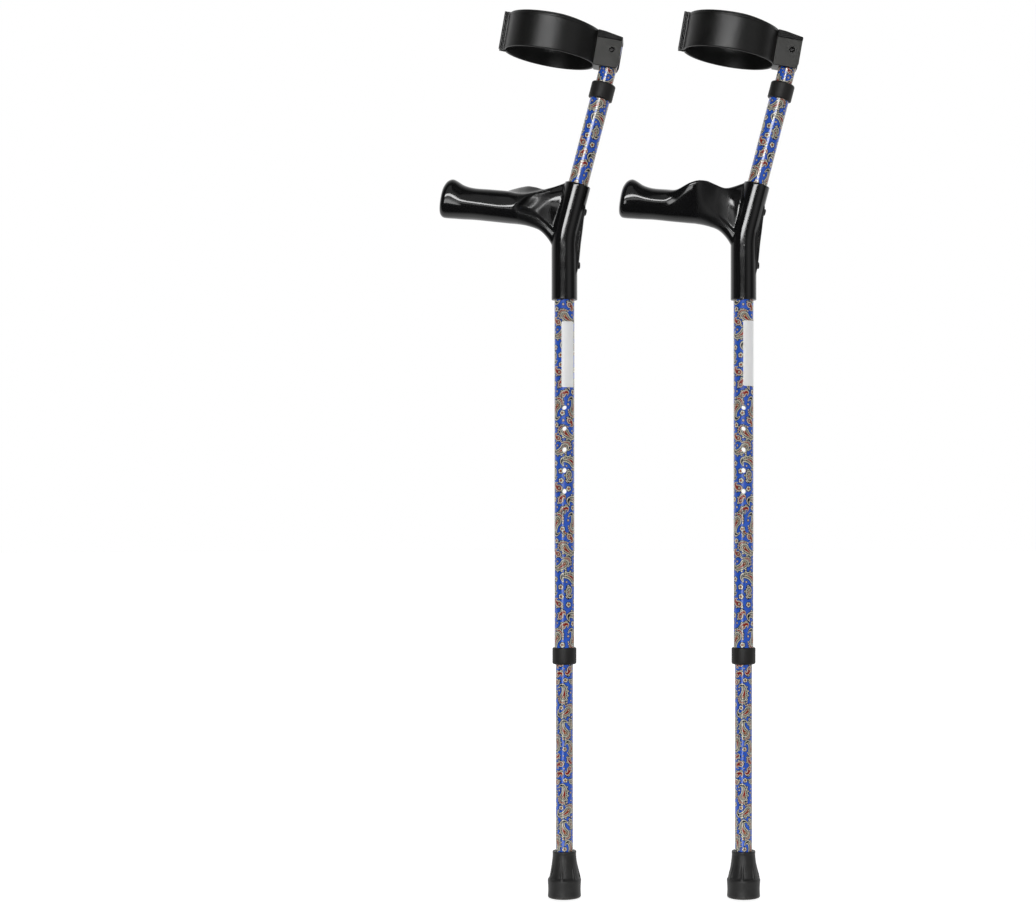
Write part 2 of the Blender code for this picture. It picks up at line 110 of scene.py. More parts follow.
def bake_modifiers(ob):
    dg = bpy.context.evaluated_depsgraph_get()
    me = bpy.data.meshes.new_from_object(
        ob.evaluated_get(dg), preserve_all_data_layers=True, depsgraph=dg
    )
    old, name = ob.data, ob.data.name
    ob.modifiers.clear()
    ob.data = me
    bpy.data.meshes.remove(old)
    me.name = name
    return ob


def boolean(ob, other, how="DIFFERENCE"):
    """Applied at once, and the other object is used up."""
    mod = ob.modifiers.new("cut", "BOOLEAN")
    mod.operation = how
    mod.object = other
    mod.solver = "EXACT"
    bake_modifiers(ob)
    bpy.data.objects.remove(other, do_unlink=True)
    return ob


def shade(ob, degrees=38.0):
    ob.data.shade_smooth()
    ob.data.set_sharp_from_angle(angle=math.radians(degrees))


def moved(ob, matrix):
    ob.data.transform(matrix)
    if matrix.to_3x3().determinant() < 0:
        ob.data.flip_normals()
    ob.data.update()
    return ob


def turned(name, profile, steps=64, mats=()):
    """A turned solid about Z: profile is (radius, height) from the top down on
    the outer side and back up a bore, or from the axis to the axis."""
    closed = profile[0][0] > 1e-6
    rings, verts, faces = [], [], []
    for r, z in profile:
        if r < 1e-6:
            rings.append([len(verts)] * steps)
            verts.append((0.0, 0.0, z))
        else:
            first = len(verts)
            for i in range(steps):
                a = math.tau * i / steps
                verts.append((r * math.cos(a), r * math.sin(a), z))
            rings.append(list(range(first, first + steps)))
    pairs = list(zip(rings, rings[1:]))
    if closed:
        pairs.append((rings[-1], rings[0]))
    for a, b in pairs:
        for i in range(steps):
            j = (i + 1) % steps
            face = []
            for v in (a[i], a[j], b[j], b[i]):
                if v not in face:
                    face.append(v)
            if len(face) > 2:
                faces.append(face)
    ob = mesh_object(name, verts, faces, mats)
    outward(ob)
    return ob


def arc_points(cx, cz, r, a0, a1, n=5):
    """Points of an arc in the profile plane, angles in degrees from +radius."""
    return [
        (
            cx + r * math.cos(math.radians(a0 + (a1 - a0) * i / n)),
            cz + r * math.sin(math.radians(a0 + (a1 - a0) * i / n)),
        )
        for i in range(n + 1)
    ]


def rounded(points, radius, steps=4):
    """Closed 2D outline with its corners rounded; radius may be one per corner."""
    out = []
    n = len(points)
    radii = radius if isinstance(radius, (list, tuple)) else [radius] * n
    for i in range(n):
        p = Vector(points[i])
        a = Vector(points[i - 1]) - p
        b = Vector(points[(i + 1) % n]) - p
        r = radii[i]
        if r <= 0 or a.length < 1e-9 or b.length < 1e-9:
            out.append(tuple(p))
            continue
        half = a.angle(b) / 2
        reach = min(r / math.tan(half), a.length * 0.48, b.length * 0.48)
        r = reach * math.tan(half)
        centre = p + (a.normalized() + b.normalized()).normalized() * (r / math.sin(half))
        start = p + a.normalized() * reach - centre
        end = p + b.normalized() * reach - centre
        turn = start.angle_signed(end)
        for k in range(steps + 1):
            t = -turn * k / steps
            c, s = math.cos(t), math.sin(t)
            out.append((centre.x + c * start.x - s * start.y, centre.y + s * start.x + c * start.y))
    return out


def slab(name, outline, low, high, edge=0.0, mats=()):
    """A flat outline in (x, z) given a thickness along y, with its edges rounded by edge."""
    n = len(outline)
    verts = [(x, low, z) for x, z in outline] + [(x, high, z) for x, z in outline]
    faces = [list(range(n)), list(range(2 * n - 1, n - 1, -1))]
    faces += [[i, (i + 1) % n, n + (i + 1) % n, n + i] for i in range(n)]
    ob = mesh_object(name, verts, faces, mats)
    outward(ob)
    if edge > 0:
        mod = ob.modifiers.new("round", "BEVEL")
        mod.width = edge * MM
        mod.segments = 4
        mod.limit_method = "ANGLE"
        mod.angle_limit = math.radians(50)
        bake_modifiers(ob)
    return ob


def rod(name, radius, length, centre, axis, sides=32, mats=(), uv=None):
    """A closed cylinder, centred, used as a cutter. uv puts its faces at one
    place of each map, so that a cut wall takes its colour from there."""
    bm = bmesh.new()
    turn = Vector((0, 0, 1)).rotation_difference(Vector(axis).normalized())
    bmesh.ops.create_cone(
        bm,
        cap_ends=True,
        segments=sides,
        radius1=radius * MM,
        radius2=radius * MM,
        depth=length * MM,
        matrix=Matrix.Translation(Vector(centre) * MM) @ turn.to_matrix().to_4x4(),
    )
    me = bpy.data.meshes.new(name)
    bm.to_mesh(me)
    bm.free()
    ob = new_object(name, me, mats)
    if len(mats) > 1:
        me.polygons.foreach_set("material_index", [1] * len(me.polygons))
    if uv:
        for layer, at in uv.items():
            data = me.uv_layers.new(name=layer).data
            data.foreach_set("uv", list(at) * len(data))
    return ob


def join(obs, name):
    """One mesh from several, kept as they are."""
    bm = bmesh.new()
    for ob in obs:
        bm.from_mesh(ob.data)
    me = bpy.data.meshes.new(name)
    bm.to_mesh(me)
    bm.free()
    mats = [m for m in obs[0].data.materials]
    for ob in obs:
        bpy.data.objects.remove(ob, do_unlink=True)
    return new_object(name, me, mats)


def copy_of(ob, name, matrix):
    me = ob.data.copy()
    me.name = name
    twin = bpy.data.objects.new(name, me)
    SCENE.objects.link(twin)
    return moved(twin, matrix)


def shift(x, y=0.0, z=0.0):
    return Matrix.Translation(Vector((x, y, z)) * MM)


FOREARM = Matrix.Translation(Vector((0, 0, VERTEX_Z)) * MM) @ Matrix.Rotation(TILT, 4, "Y")
CUFF_FRAME = Matrix.Translation(Vector(along(PIVOT_S)) * MM) @ Matrix.Rotation(CUFF_LEAN, 4, "Y")


# ------------------------------------------------------------ materials
def srgb(r, g, b):
    def one(c):
        c /= 255.0
        return c / 12.92 if c <= 0.04045 else ((c + 0.055) / 1.055) ** 2.4

    return (one(r), one(g), one(b), 1.0)


class Tree:
    """Short names for building a node tree."""

    def __init__(self, name):
        self.mat = bpy.data.materials.new(name)
        self.mat.use_nodes = True
        self.nodes = self.mat.node_tree.nodes
        self.links = self.mat.node_tree.links
        self.bsdf = self.nodes["Principled BSDF"]

    def node(self, kind, **props):
        n = self.nodes.new(kind)
        for k, v in props.items():
            setattr(n, k, v)
        return n

    def feed(self, socket, value):
        if isinstance(value, bpy.types.NodeSocket):
            self.links.new(value, socket)
        elif value is not None:
            socket.default_value = value

    def put(self, **values):
        for k, v in values.items():
            self.feed(self.bsdf.inputs[k.replace("_", " ")], v)

    def noise(self, vector, scale, detail=2.0, rough=0.5, kind="NOISE"):
        if kind == "VORONOI":
            n = self.node("ShaderNodeTexVoronoi")
            n.inputs["Scale"].default_value = scale
            self.links.new(vector, n.inputs["Vector"])
            return n.outputs["Distance"]
        n = self.node("ShaderNodeTexNoise")
        n.inputs["Scale"].default_value = scale
        n.inputs["Detail"].default_value = detail
        n.inputs["Roughness"].default_value = rough
        self.links.new(vector, n.inputs["Vector"])
        return n.outputs["Fac"]

    def remap(self, value, a, b, c, d):
        n = self.node("ShaderNodeMapRange")
        self.feed(n.inputs["Value"], value)
        for k, v in (("From Min", a), ("From Max", b), ("To Min", c), ("To Max", d)):
            n.inputs[k].default_value = v
        return n.outputs["Result"]

    def math(self, op, a, b=None, clamp=False):
        n = self.node("ShaderNodeMath", operation=op, use_clamp=clamp)
        self.feed(n.inputs[0], a)
        if b is not None:
            self.feed(n.inputs[1], b)
        return n.outputs[0]

    def mix(self, fac, a, b):
        n = self.node("ShaderNodeMix", data_type="RGBA")
        self.feed(n.inputs["Factor"], fac)
        self.feed(n.inputs[6], a)
        self.feed(n.inputs[7], b)
        return n.outputs[2]

    def bump(self, height, distance, strength=1.0, normal=None):
        n = self.node("ShaderNodeBump")
        n.inputs["Distance"].default_value = distance
        n.inputs["Strength"].default_value = strength
        self.feed(n.inputs["Height"], height)
        if normal is not None:
            self.feed(n.inputs["Normal"], normal)
        return n.outputs["Normal"]

    def place(self):
        return self.node("ShaderNodeTexCoord").outputs["Object"]


def gloss_black():
    t = Tree("gloss_black_plastic")
    p = t.place()
    broad = t.noise(p, 38.0, 3.0)
    fine = t.noise(p, 900.0, 2.0)
    handled = t.noise(p, 120.0, 4.0, 0.6)
    colour = t.mix(t.remap(broad, 0.3, 0.7, 0.0, 1.0), srgb(17, 17, 18), srgb(24, 24, 25))
    rough = t.math("ADD", t.remap(handled, 0.35, 0.7, 0.07, 0.12), t.remap(fine, 0.3, 0.7, 0.0, 0.02))
    # the hollow for the thumb was left duller by its mould, the same on both handles
    xyz = t.node("ShaderNodeSeparateXYZ")
    t.links.new(p, xyz.inputs[0])
    along_x = t.node("ShaderNodeMath", operation="WRAP")
    t.links.new(xyz.outputs["X"], along_x.inputs[0])
    middle = (X0["right"] - 34.0) * MM
    along_x.inputs[1].default_value = middle + 0.0985
    along_x.inputs[2].default_value = middle - 0.0985
    aside = t.math("ABSOLUTE", t.math("SUBTRACT", along_x.outputs[0], middle))
    height = t.math("ABSOLUTE", t.math("SUBTRACT", xyz.outputs["Z"], 0.76))
    inside = t.math("MULTIPLY", t.remap(aside, 0.016, 0.02, 1.0, 0.0), t.remap(height, 0.023, 0.027, 1.0, 0.0))
    rough = t.math("ADD", rough, t.math("MULTIPLY", inside, 0.22))
    orange = t.bump(t.noise(p, 210.0, 1.0), 0.000015, 1.0)
    t.put(Base_Color=colour, Roughness=rough, Normal=orange, IOR=1.52, Coat_Weight=0.2, Coat_Roughness=0.05)
    return t.mat


def satin_black(name, dark, light, rough_low, rough_high, grain):
    t = Tree(name)
    p = t.place()
    broad = t.noise(p, 30.0, 4.0, 0.6)
    mottled = t.noise(p, 420.0, 3.0, 0.6)
    colour = t.mix(t.remap(broad, 0.3, 0.7, 0.0, 1.0), dark, light)
    colour = t.mix(t.remap(mottled, 0.45, 0.8, 0.0, 0.35), colour, light)
    rough = t.remap(t.noise(p, 75.0, 4.0, 0.6), 0.3, 0.7, rough_low, rough_high)
    bump = t.bump(t.noise(p, 2600.0, 2.0, 0.6), grain, 0.8)
    bump = t.bump(broad, 0.0002, 0.25, bump)
    t.put(Base_Color=colour, Roughness=rough, Normal=bump, IOR=1.5)
    return t.mat


def rubber():
    t = Tree("black_rubber")
    p = t.place()
    cloudy = t.noise(p, 55.0, 5.0, 0.62)
    speck = t.noise(p, 1900.0, 2.0, 0.6)
    dust = t.noise(p, 260.0, 5.0, 0.7)
    colour = t.mix(t.remap(cloudy, 0.3, 0.7, 0.0, 1.0), srgb(30, 30, 30), srgb(42, 42, 41))
    colour = t.mix(t.remap(dust, 0.56, 0.78, 0.0, 0.4), colour, srgb(70, 69, 67))
    colour = t.mix(t.remap(speck, 0.5, 0.75, 0.0, 0.3), colour, srgb(22, 22, 23))
    # the tread and the rim that meets the floor are scuffed
    up = t.node("ShaderNodeSeparateXYZ")
    t.links.new(p, up.inputs[0])
    low = t.remap(up.outputs["Z"], 0.0, 0.004, 1.0, 0.0)
    colour = t.mix(t.math("MULTIPLY", low, t.remap(dust, 0.4, 0.7, 0.15, 0.85)), colour, srgb(92, 90, 85))
    rough = t.remap(cloudy, 0.3, 0.7, 0.38, 0.5)
    bump = t.bump(speck, 0.00012, 0.7)
    bump = t.bump(cloudy, 0.0003, 0.35, bump)
    t.put(Base_Color=colour, Roughness=rough, Normal=bump, IOR=1.47)
    return t.mat


def metal(name, colour_a, colour_b, rough_a, rough_b, stretch=(1.0, 1.0, 1.0), scratch=900.0):
    t = Tree(name)
    p = t.place()
    m = t.node("ShaderNodeMapping")
    m.inputs["Scale"].default_value = stretch
    t.links.new(p, m.inputs["Vector"])
    lines = t.noise(m.outputs[0], scratch, 3.0, 0.6)
    cloud = t.noise(p, 160.0, 4.0, 0.6)
    colour = t.mix(t.remap(cloud, 0.35, 0.7, 0.0, 1.0), colour_a, colour_b)
    rough = t.remap(lines, 0.3, 0.7, rough_a, rough_b)
    t.put(Base_Color=colour, Metallic=1.0, Roughness=rough, Normal=t.bump(lines, 0.00003, 0.6))
    return t.mat


def label_film_painted_glow():
    t = Tree("label_film_painted_glow")
    p = t.place()
    cloud = t.noise(p, 90.0, 3.0)
    fibre = t.noise(p, 3000.0, 2.0)
    colour = t.mix(t.remap(cloud, 0.3, 0.7, 0.0, 1.0), srgb(245, 246, 248), srgb(252, 252, 251))
    # the film glows faintly: painted light that keeps the blank label bright white
    t.put(Emission_Color=colour, Emission_Strength=0.2)
    t.put(Base_Color=colour, Roughness=t.remap(fibre, 0.3, 0.7, 0.3, 0.42), Normal=t.bump(fibre, 0.00002, 0.4))
    return t.mat



# ------------------------------------------------------------ paisley print
# The print repeats once round the outer tube and every 127 mm along it. It is
# drawn from a few motifs, each a function of its own x and y in millimetres.
TILE = (math.tau * TUBE_R, 127.0)
GROUND, GROUND_LIT = (44, 97, 222), (52, 109, 233)
INK, OUTLINE, CREAM = (9, 9, 8), (9, 10, 26), (247, 242, 222)
RED, RUST = (158, 34, 18), (196, 108, 58)


class Num:
    """A number in a node tree that can be reckoned with."""

    def __init__(self, tree, out):
        self.tree, self.out = tree, out

    def do(self, op, *args):
        n = self.tree.node("ShaderNodeMath", operation=op)
        for socket, v in zip(n.inputs, args):
            self.tree.feed(socket, v.out if isinstance(v, Num) else v)
        return Num(self.tree, n.outputs[0])

    def __add__(self, o):
        return self.do("ADD", self, o)

    def __radd__(self, o):
        return self.do("ADD", o, self)

    def __sub__(self, o):
        return self.do("SUBTRACT", self, o)

    def __rsub__(self, o):
        return self.do("SUBTRACT", o, self)

    def __mul__(self, o):
        return self.do("MULTIPLY", self, o)

    def __rmul__(self, o):
        return self.do("MULTIPLY", o, self)


class NodePen:
    """What the drawings need, made of shader nodes."""

    def __init__(self, tree):
        self.tree = tree

    def atan2(self, a, b):
        return a.do("ARCTAN2", a, b)

    def wrap(self, a, half):
        return a.do("WRAP", a, half, -half)

    def cos(self, a):
        return a.do("COSINE", a)

    def sin(self, a):
        return a.do("SINE", a)

    def abs(self, a):
        return a.do("ABSOLUTE", a)

    def max(self, a, b):
        return a.do("MAXIMUM", a, b)

    def min(self, a, b):
        return a.do("MINIMUM", a, b)

    def less(self, a, b):
        return a.do("LESS_THAN", a, b)

    def unit(self, a):
        n = self.tree.node("ShaderNodeClamp")
        self.tree.links.new(a.out, n.inputs["Value"])
        return Num(self.tree, n.outputs[0])

    def length(self, a, b):
        pair = self.tree.node("ShaderNodeCombineXYZ")
        self.tree.links.new(a.out, pair.inputs[0])
        self.tree.links.new(b.out, pair.inputs[1])
        n = self.tree.node("ShaderNodeVectorMath", operation="LENGTH")
        self.tree.links.new(pair.outputs[0], n.inputs[0])
        return Num(self.tree, n.outputs["Value"])

    def blend(self, f, a, b):
        n = self.tree.node("ShaderNodeMix", data_type="FLOAT")
        for socket, v in zip((n.inputs[0], n.inputs[2], n.inputs[3]), (f, a, b)):
            self.tree.feed(socket, v.out if isinstance(v, Num) else v)
        return Num(self.tree, n.outputs[0])

    def bands(self, value, rows, soft=0.07):
        """Colours by value: rows of (upper limit, colour), clear above the last."""
        low, high = rows[0][0] - 1.0, rows[-1][0] + 0.5
        share = (value - low) * (1.0 / (high - low))
        n = self.tree.node("ShaderNodeValToRGB")
        self.tree.links.new(share.out, n.inputs["Fac"])
        ramp = n.color_ramp
        ramp.interpolation = "LINEAR"
        stops = []
        for k, (at, colour) in enumerate(rows):
            nxt = srgb(*rows[k + 1][1]) if k + 1 < len(rows) else (*srgb(*colour)[:3], 0.0)
            stops.append(((at - soft / 2 - low) / (high - low), srgb(*colour)))
            stops.append(((at + soft / 2 - low) / (high - low), nxt))
        ramp.elements[0].position = stops[0][0]
        ramp.elements[1].position = stops[1][0]
        for at, colour in stops[2:]:
            ramp.elements.new(at)
        for element, (at, colour) in zip(ramp.elements, stops):
            element.position = at
            element.color = colour
        return n.outputs["Color"], Num(self.tree, n.outputs["Alpha"])

    def over(self, cover, under, colour):
        if isinstance(colour, tuple):
            colour = srgb(*colour)
        return self.tree.mix(cover.out, under, colour)

    def dot(self, distance, radius, soft=0.07):
        """1 within the radius."""
        n = self.tree.node("ShaderNodeMapRange")
        self.tree.links.new(distance.out, n.inputs["Value"])
        n.inputs["From Min"].default_value = radius - soft / 2
        n.inputs["From Max"].default_value = radius + soft / 2
        n.inputs["To Min"].default_value = 1.0
        n.inputs["To Max"].default_value = 0.0
        return Num(self.tree, n.outputs["Result"])


# a drop's fat radius, bend radius, length before the hook, hook radius, length, tip radius
LARGE_DROP = (4.6, 14.0, 13.6, 3.7, 21.6, 0.8)
COMMA_DROP = (3.3, 7.0, 5.8, 2.6, 11.4, 0.75)


def spine_point(drop, s, n):
    """A point at s along the bent spine and n towards its hollow side."""
    _, bend, s0, hook, _, _ = drop
    if s <= s0:
        a = s / bend
        return bend - (bend - n) * math.cos(a), (bend - n) * math.sin(a)
    a0 = s0 / bend
    cx, cy = bend - (bend - hook) * math.cos(a0), (bend - hook) * math.sin(a0)
    a = a0 + (s - s0) / hook
    return cx - (hook - n) * math.cos(a), cy + (hook - n) * math.sin(a)


def drop_field(k, x, y, drop):
    """Length along the spine, offset from it, and distance from a teardrop's edge."""
    fat, bend, s0, hook, h, tip = drop
    ex = bend - x
    s = k.atan2(y, ex) * bend
    n = bend - k.length(ex, y)
    t1 = s - s0
    ex2 = hook - n
    s2 = k.atan2(t1, ex2) * hook + s0
    n2 = hook - k.length(ex2, t1)
    past = k.less(s0, s) if not isinstance(s, Num) else s.do("GREATER_THAN", s, s0)
    s = k.blend(past, s, s2)
    n = k.blend(past, n, n2)
    b = (fat - tip) / h
    slope = b / math.sqrt(1 - b * b)
    a = k.abs(n)
    t = k.unit((s - a * slope) * (1.0 / h))
    d = k.length(n, s - t * h) - (t * (tip - fat) + fat)
    return s, n, a, d


def edge_length(k, s, a, fat):
    """Length along the edge from the middle of the fat end."""
    return k.atan2(a, k.max(s * -1.0, 0.001)) * fat + k.max(s, 0.0)


def large_drop(k, colour, x, y, kind):
    fat = LARGE_DROP[0]
    s, n, a, d = drop_field(k, x, y, LARGE_DROP)
    q = edge_length(k, s, a, fat)
    turn = k.atan2(x, y * -1.0)
    wide = k.abs(turn)
    rho = k.length(x, y)
    # fan of small lobes over the fat end
    lobe = k.length(k.wrap(turn, 0.185) * 7.6, d - 3.3)
    tint, cover = k.bands(lobe, ((0.5, RED), (1.15, CREAM), (1.9, OUTLINE)))
    cover = cover * k.less(wide, 1.27)
    colour = k.over(cover, colour, tint)
    # red arc under the fan
    arc = k.max(k.abs(d - 2.3) - 0.95, (wide - 0.82) * 6.0)
    tint, cover = k.bands(arc, ((-0.35, RED), (0.1, CREAM), (0.5, OUTLINE)))
    colour = k.over(cover, colour, tint)
    # buds along the outer side
    bud = k.length(k.wrap(q + 1.2, 2.0), d - 1.6)
    tint, cover = k.bands(bud, ((0.8, CREAM), (1.5, OUTLINE)))
    cover = cover * k.less(n, 0.0) * k.dot(k.abs(q - 12.8), 8.0)
    colour = k.over(cover, colour, tint)
    # the drop's body in bands from the edge inward
    tint, cover = k.bands(
        d,
        (
            (-2.6, RED), (-2.05, CREAM), (-0.4, INK), (0.5, CREAM), (1.25, OUTLINE),
        ),
    )
    colour = k.over(cover, colour, tint)
    bead = k.length(k.wrap(q, 0.95), d + 1.2)
    colour = k.over(k.dot(bead, 0.4) * k.less(s, 14.0), colour, CREAM)
    # the rosette
    rose = rho + k.cos(turn * 6.0) * 0.22
    tint, cover = k.bands(rose, ((0.5, CREAM), (1.45, RUST), (2.1, INK)))
    return k.over(cover, colour, tint)


def comma_drop(k, colour, x, y, kind):
    fat = COMMA_DROP[0]
    s, n, a, d = drop_field(k, x, y, COMMA_DROP)
    q = edge_length(k, s, a, fat)
    rho = k.length(x, y)
    bud = k.length(k.wrap(q + 0.4, 1.9), d - 1.3)
    tint, cover = k.bands(bud, ((0.7, CREAM), (1.35, OUTLINE)))
    cover = cover * k.less(n, 0.0) * k.dot(k.abs(q - 7.2), 5.7)
    colour = k.over(cover, colour, tint)
    tint, cover = k.bands(d, ((-0.4, RED), (0.4, CREAM), (1.15, OUTLINE)))
    colour = k.over(cover, colour, tint)
    # the dark kind
    tint, cover = k.bands(d, ((-2.1, RED), (-1.6, CREAM), (-0.4, INK)))
    colour = k.over(cover * kind, colour, tint)
    bead = k.length(k.wrap(q, 0.9), d + 1.0)
    colour = k.over(k.dot(bead, 0.34) * k.less(s, 5.5), colour, CREAM)
    tint, cover = k.bands(rho, ((0.6, INK), (1.15, CREAM), (1.6, INK)))
    return k.over(cover, colour, tint)


def flower(k, colour, x, y, kind):
    """A five-petalled flower, or a lone bud when kind is 0."""
    rho = k.length(x, y)
    turn = k.atan2(x, y)
    fold = k.wrap(turn, math.pi / 5)
    petal = k.length(k.cos(fold) * rho - 1.5, k.sin(fold) * rho * 0.92)
    tint, cover = k.bands(petal, ((0.95, CREAM), (1.6, OUTLINE)))
    colour = k.over(cover * kind, colour, tint)
    tint, cover = k.bands(rho + k.cos(turn * 5.0) * 0.1, ((0.8, RUST), (1.25, INK)))
    colour = k.over(cover * kind, colour, tint)
    lone = 1.0 - kind
    tint, cover = k.bands(rho, ((1.05, CREAM), (1.7, OUTLINE)))
    colour = k.over(cover * lone, colour, tint)
    return k.over(k.dot(k.length(x - 0.1, y), 0.5) * lone, colour, RUST)


def drop_circles(drop, crest, buds):
    """Circles that cover a motif, as rows of x, y, radius."""
    fat, _, _, _, h, tip = drop
    rows = []
    for i in range(13):
        s = h * i / 12
        rows.append((*spine_point(drop, s, 0.0), fat + (tip - fat) * s / h + 0.6))
    if crest:
        for a in (-60, -30, 0, 30, 60):
            a = math.radians(a)
            rows.append((7.6 * math.sin(a), -7.6 * math.cos(a), 1.7))
    low, high, out, r, step = buds
    s = low
    while s <= high:
        edge = fat + (tip - fat) * max(0.0, s) / h
        rows.append((*spine_point(drop, s, -(edge + out)), r))
        s += step
    return np.array(rows)


class Board:
    """The repeat as a grid of clearances, on which motifs are set without overlaps."""

    def __init__(self):
        self.size = np.array(TILE)
        self.count = (int(TILE[0] * 2), int(TILE[1] * 2))
        u = (np.arange(self.count[0]) + 0.5) * TILE[0] / self.count[0]
        v = (np.arange(self.count[1]) + 0.5) * TILE[1] / self.count[1]
        self.grid = np.stack(np.meshgrid(u, v, indexing="ij"), axis=-1)
        self.clear = np.full(self.count, 99.0)

    def fill(self, circles):
        for x, y, r in circles:
            gap = np.abs(self.grid - np.array((x, y)) % self.size)
            gap = np.minimum(gap, self.size - gap)
            self.clear = np.minimum(self.clear, np.hypot(gap[..., 0], gap[..., 1]) - r)

    def room(self, circles):
        at = circles[..., :2] % self.size / self.size * np.array(self.count)
        at = np.minimum(at.astype(int), np.array(self.count) - 1)
        return (self.clear[at[..., 0], at[..., 1]] - circles[..., 2]).min(axis=-1)


def laid(circles, u, v, a, size, flip):
    """Circles of a motif after it is set down."""
    x, y, r = circles[:, 0] * size * flip, circles[:, 1] * size, circles[:, 2] * size
    c, s = math.cos(a), math.sin(a)
    return np.stack([u + c * x - s * y, v + s * x + c * y, r], axis=-1)


def scatter():
    """Rows of (u, v, turn, size, flip, kind) for the large drops, the commas and
    the small flowers and buds."""
    luck = random.Random(23)
    board = Board()
    large, comma, small = [], [], []
    for found, shape, tries, most, gap, sizes in (
        (large, BIG_CIRCLES, 1400, 12, 0.1, (1.0, 0.9)),
        (comma, COMMA_CIRCLES, 700, 16, 0.1, (1.0, 0.88)),
    ):
        while len(found) < most:
            best = None
            for _ in range(tries):
                u, v = luck.random() * TILE[0], luck.random() * TILE[1]
                a = luck.choice((0.0, math.pi)) + luck.uniform(-0.8, 0.8)
                if found is comma:
                    a = luck.uniform(0, math.tau)
                flip = luck.choice((1, -1))
                size = sizes[len(found) % 2]
                circles = laid(shape, u, v, a, size, flip)
                room = board.room(circles)
                if room >= gap and (best is None or room < best[0]):
                    best = (room, (u, v, a, size, flip, len(found) % 3 == 2), circles)
            if best is None:
                break
            found.append(best[1])
            board.fill(best[2])
    while len(small) < 46:
        i, j = np.unravel_index(int(np.argmax(board.clear)), board.count)
        room = board.clear[i, j]
        u, v = board.grid[i, j]
        if room >= 3.3 and len(small) < 15:
            size, kind = min(1.15, room / 3.5), 1
            board.fill([(u, v, 3.6 * size)])
        elif room >= 1.9:
            size, kind = luck.choice((0.8, 1.0)), 0
            board.fill([(u, v, 2.2 * size)])
        else:
            break
        small.append((u, v, luck.uniform(0, math.tau), size, 1, kind))
    return large, comma, small


def hull(circles):
    """The middle and half lengths of the ellipse that stands for a motif."""
    low = (circles[:, :2] - circles[:, 2:]).min(axis=0)
    high = (circles[:, :2] + circles[:, 2:]).max(axis=0)
    return (*((low + high) / 2), *((high - low) / 2))


BIG_CIRCLES = drop_circles(LARGE_DROP, True, (1.0, 12.0, 1.6, 1.25, 3.5))
COMMA_CIRCLES = drop_circles(COMMA_DROP, False, (-1.5, 6.5, 1.3, 1.1, 2.6))


def apart(rows, parts):
    """Deals the rows into parts so that those of one part stand well apart."""
    piles = [[] for _ in range(parts)]
    for row in rows:
        def room(pile):
            gaps = []
            for other in pile:
                d = [abs(row[i] - other[i]) % TILE[i] for i in (0, 1)]
                gaps.append(math.hypot(*(min(a, TILE[i] - a) for i, a in enumerate(d))))
            return min(gaps, default=1000.0 - len(pile))
        max(piles, key=room).append(row)
    return piles


def print_layers():
    large, comma, small = scatter()
    layers = [(small, (0.0, 0.0, 1.0, 1.0), flower)]
    layers += [(pile, hull(COMMA_CIRCLES), comma_drop) for pile in apart(comma, 2)]
    layers += [(pile, hull(BIG_CIRCLES), large_drop) for pile in apart(large, 2)]
    return layers


def nearest_motif(tree, spots, rows, shape):
    """The place in the nearest motif's own millimetres, and its kind."""
    cx, cy, hx, hy = shape
    best, place = None, None
    for u, v, a, size, flip, kind in rows:
        # the motif's middle is what the repeat is cut round
        c, s = math.cos(a), math.sin(a)
        mu, mv = cx * size * flip, cy * size
        u, v = (u + c * mu - s * mv) % TILE[0], (v + s * mu + c * mv) % TILE[1]
        i = 0 if 0.25 * TILE[0] <= u < 0.75 * TILE[0] else 1
        j = 0 if 0.25 * TILE[1] <= v < 0.75 * TILE[1] else 1
        if i and u > TILE[0] / 2:
            u -= TILE[0]
        if j and v > TILE[1] / 2:
            v -= TILE[1]
        m = tree.node("ShaderNodeMapping", vector_type="TEXTURE")
        tree.links.new(spots[i, j], m.inputs["Vector"])
        m.inputs["Location"].default_value = (u, v, -float(kind))
        m.inputs["Rotation"].default_value = (0.0, 0.0, a)
        m.inputs["Scale"].default_value = (hx * size * flip, hy * size, 1.0)
        far = tree.node("ShaderNodeVectorMath", operation="DISTANCE")
        tree.links.new(m.outputs[0], far.inputs[0])
        far.inputs[1].default_value = (0.0, 0.0, float(kind))
        if best is None:
            best, place = far.outputs["Value"], m.outputs[0]
            continue
        nearer = tree.math("LESS_THAN", far.outputs["Value"], best)
        mix = tree.node("ShaderNodeMix", data_type="VECTOR")
        tree.links.new(nearer, mix.inputs[0])
        tree.links.new(place, mix.inputs[4])
        tree.links.new(m.outputs[0], mix.inputs[5])
        place = mix.outputs[1]
        best = tree.math("MINIMUM", best, far.outputs["Value"])
    split = tree.node("ShaderNodeSeparateXYZ")
    tree.links.new(place, split.inputs[0])
    x, y, z = (Num(tree, out) for out in split.outputs)
    return x * hx + cx, y * hy + cy, z


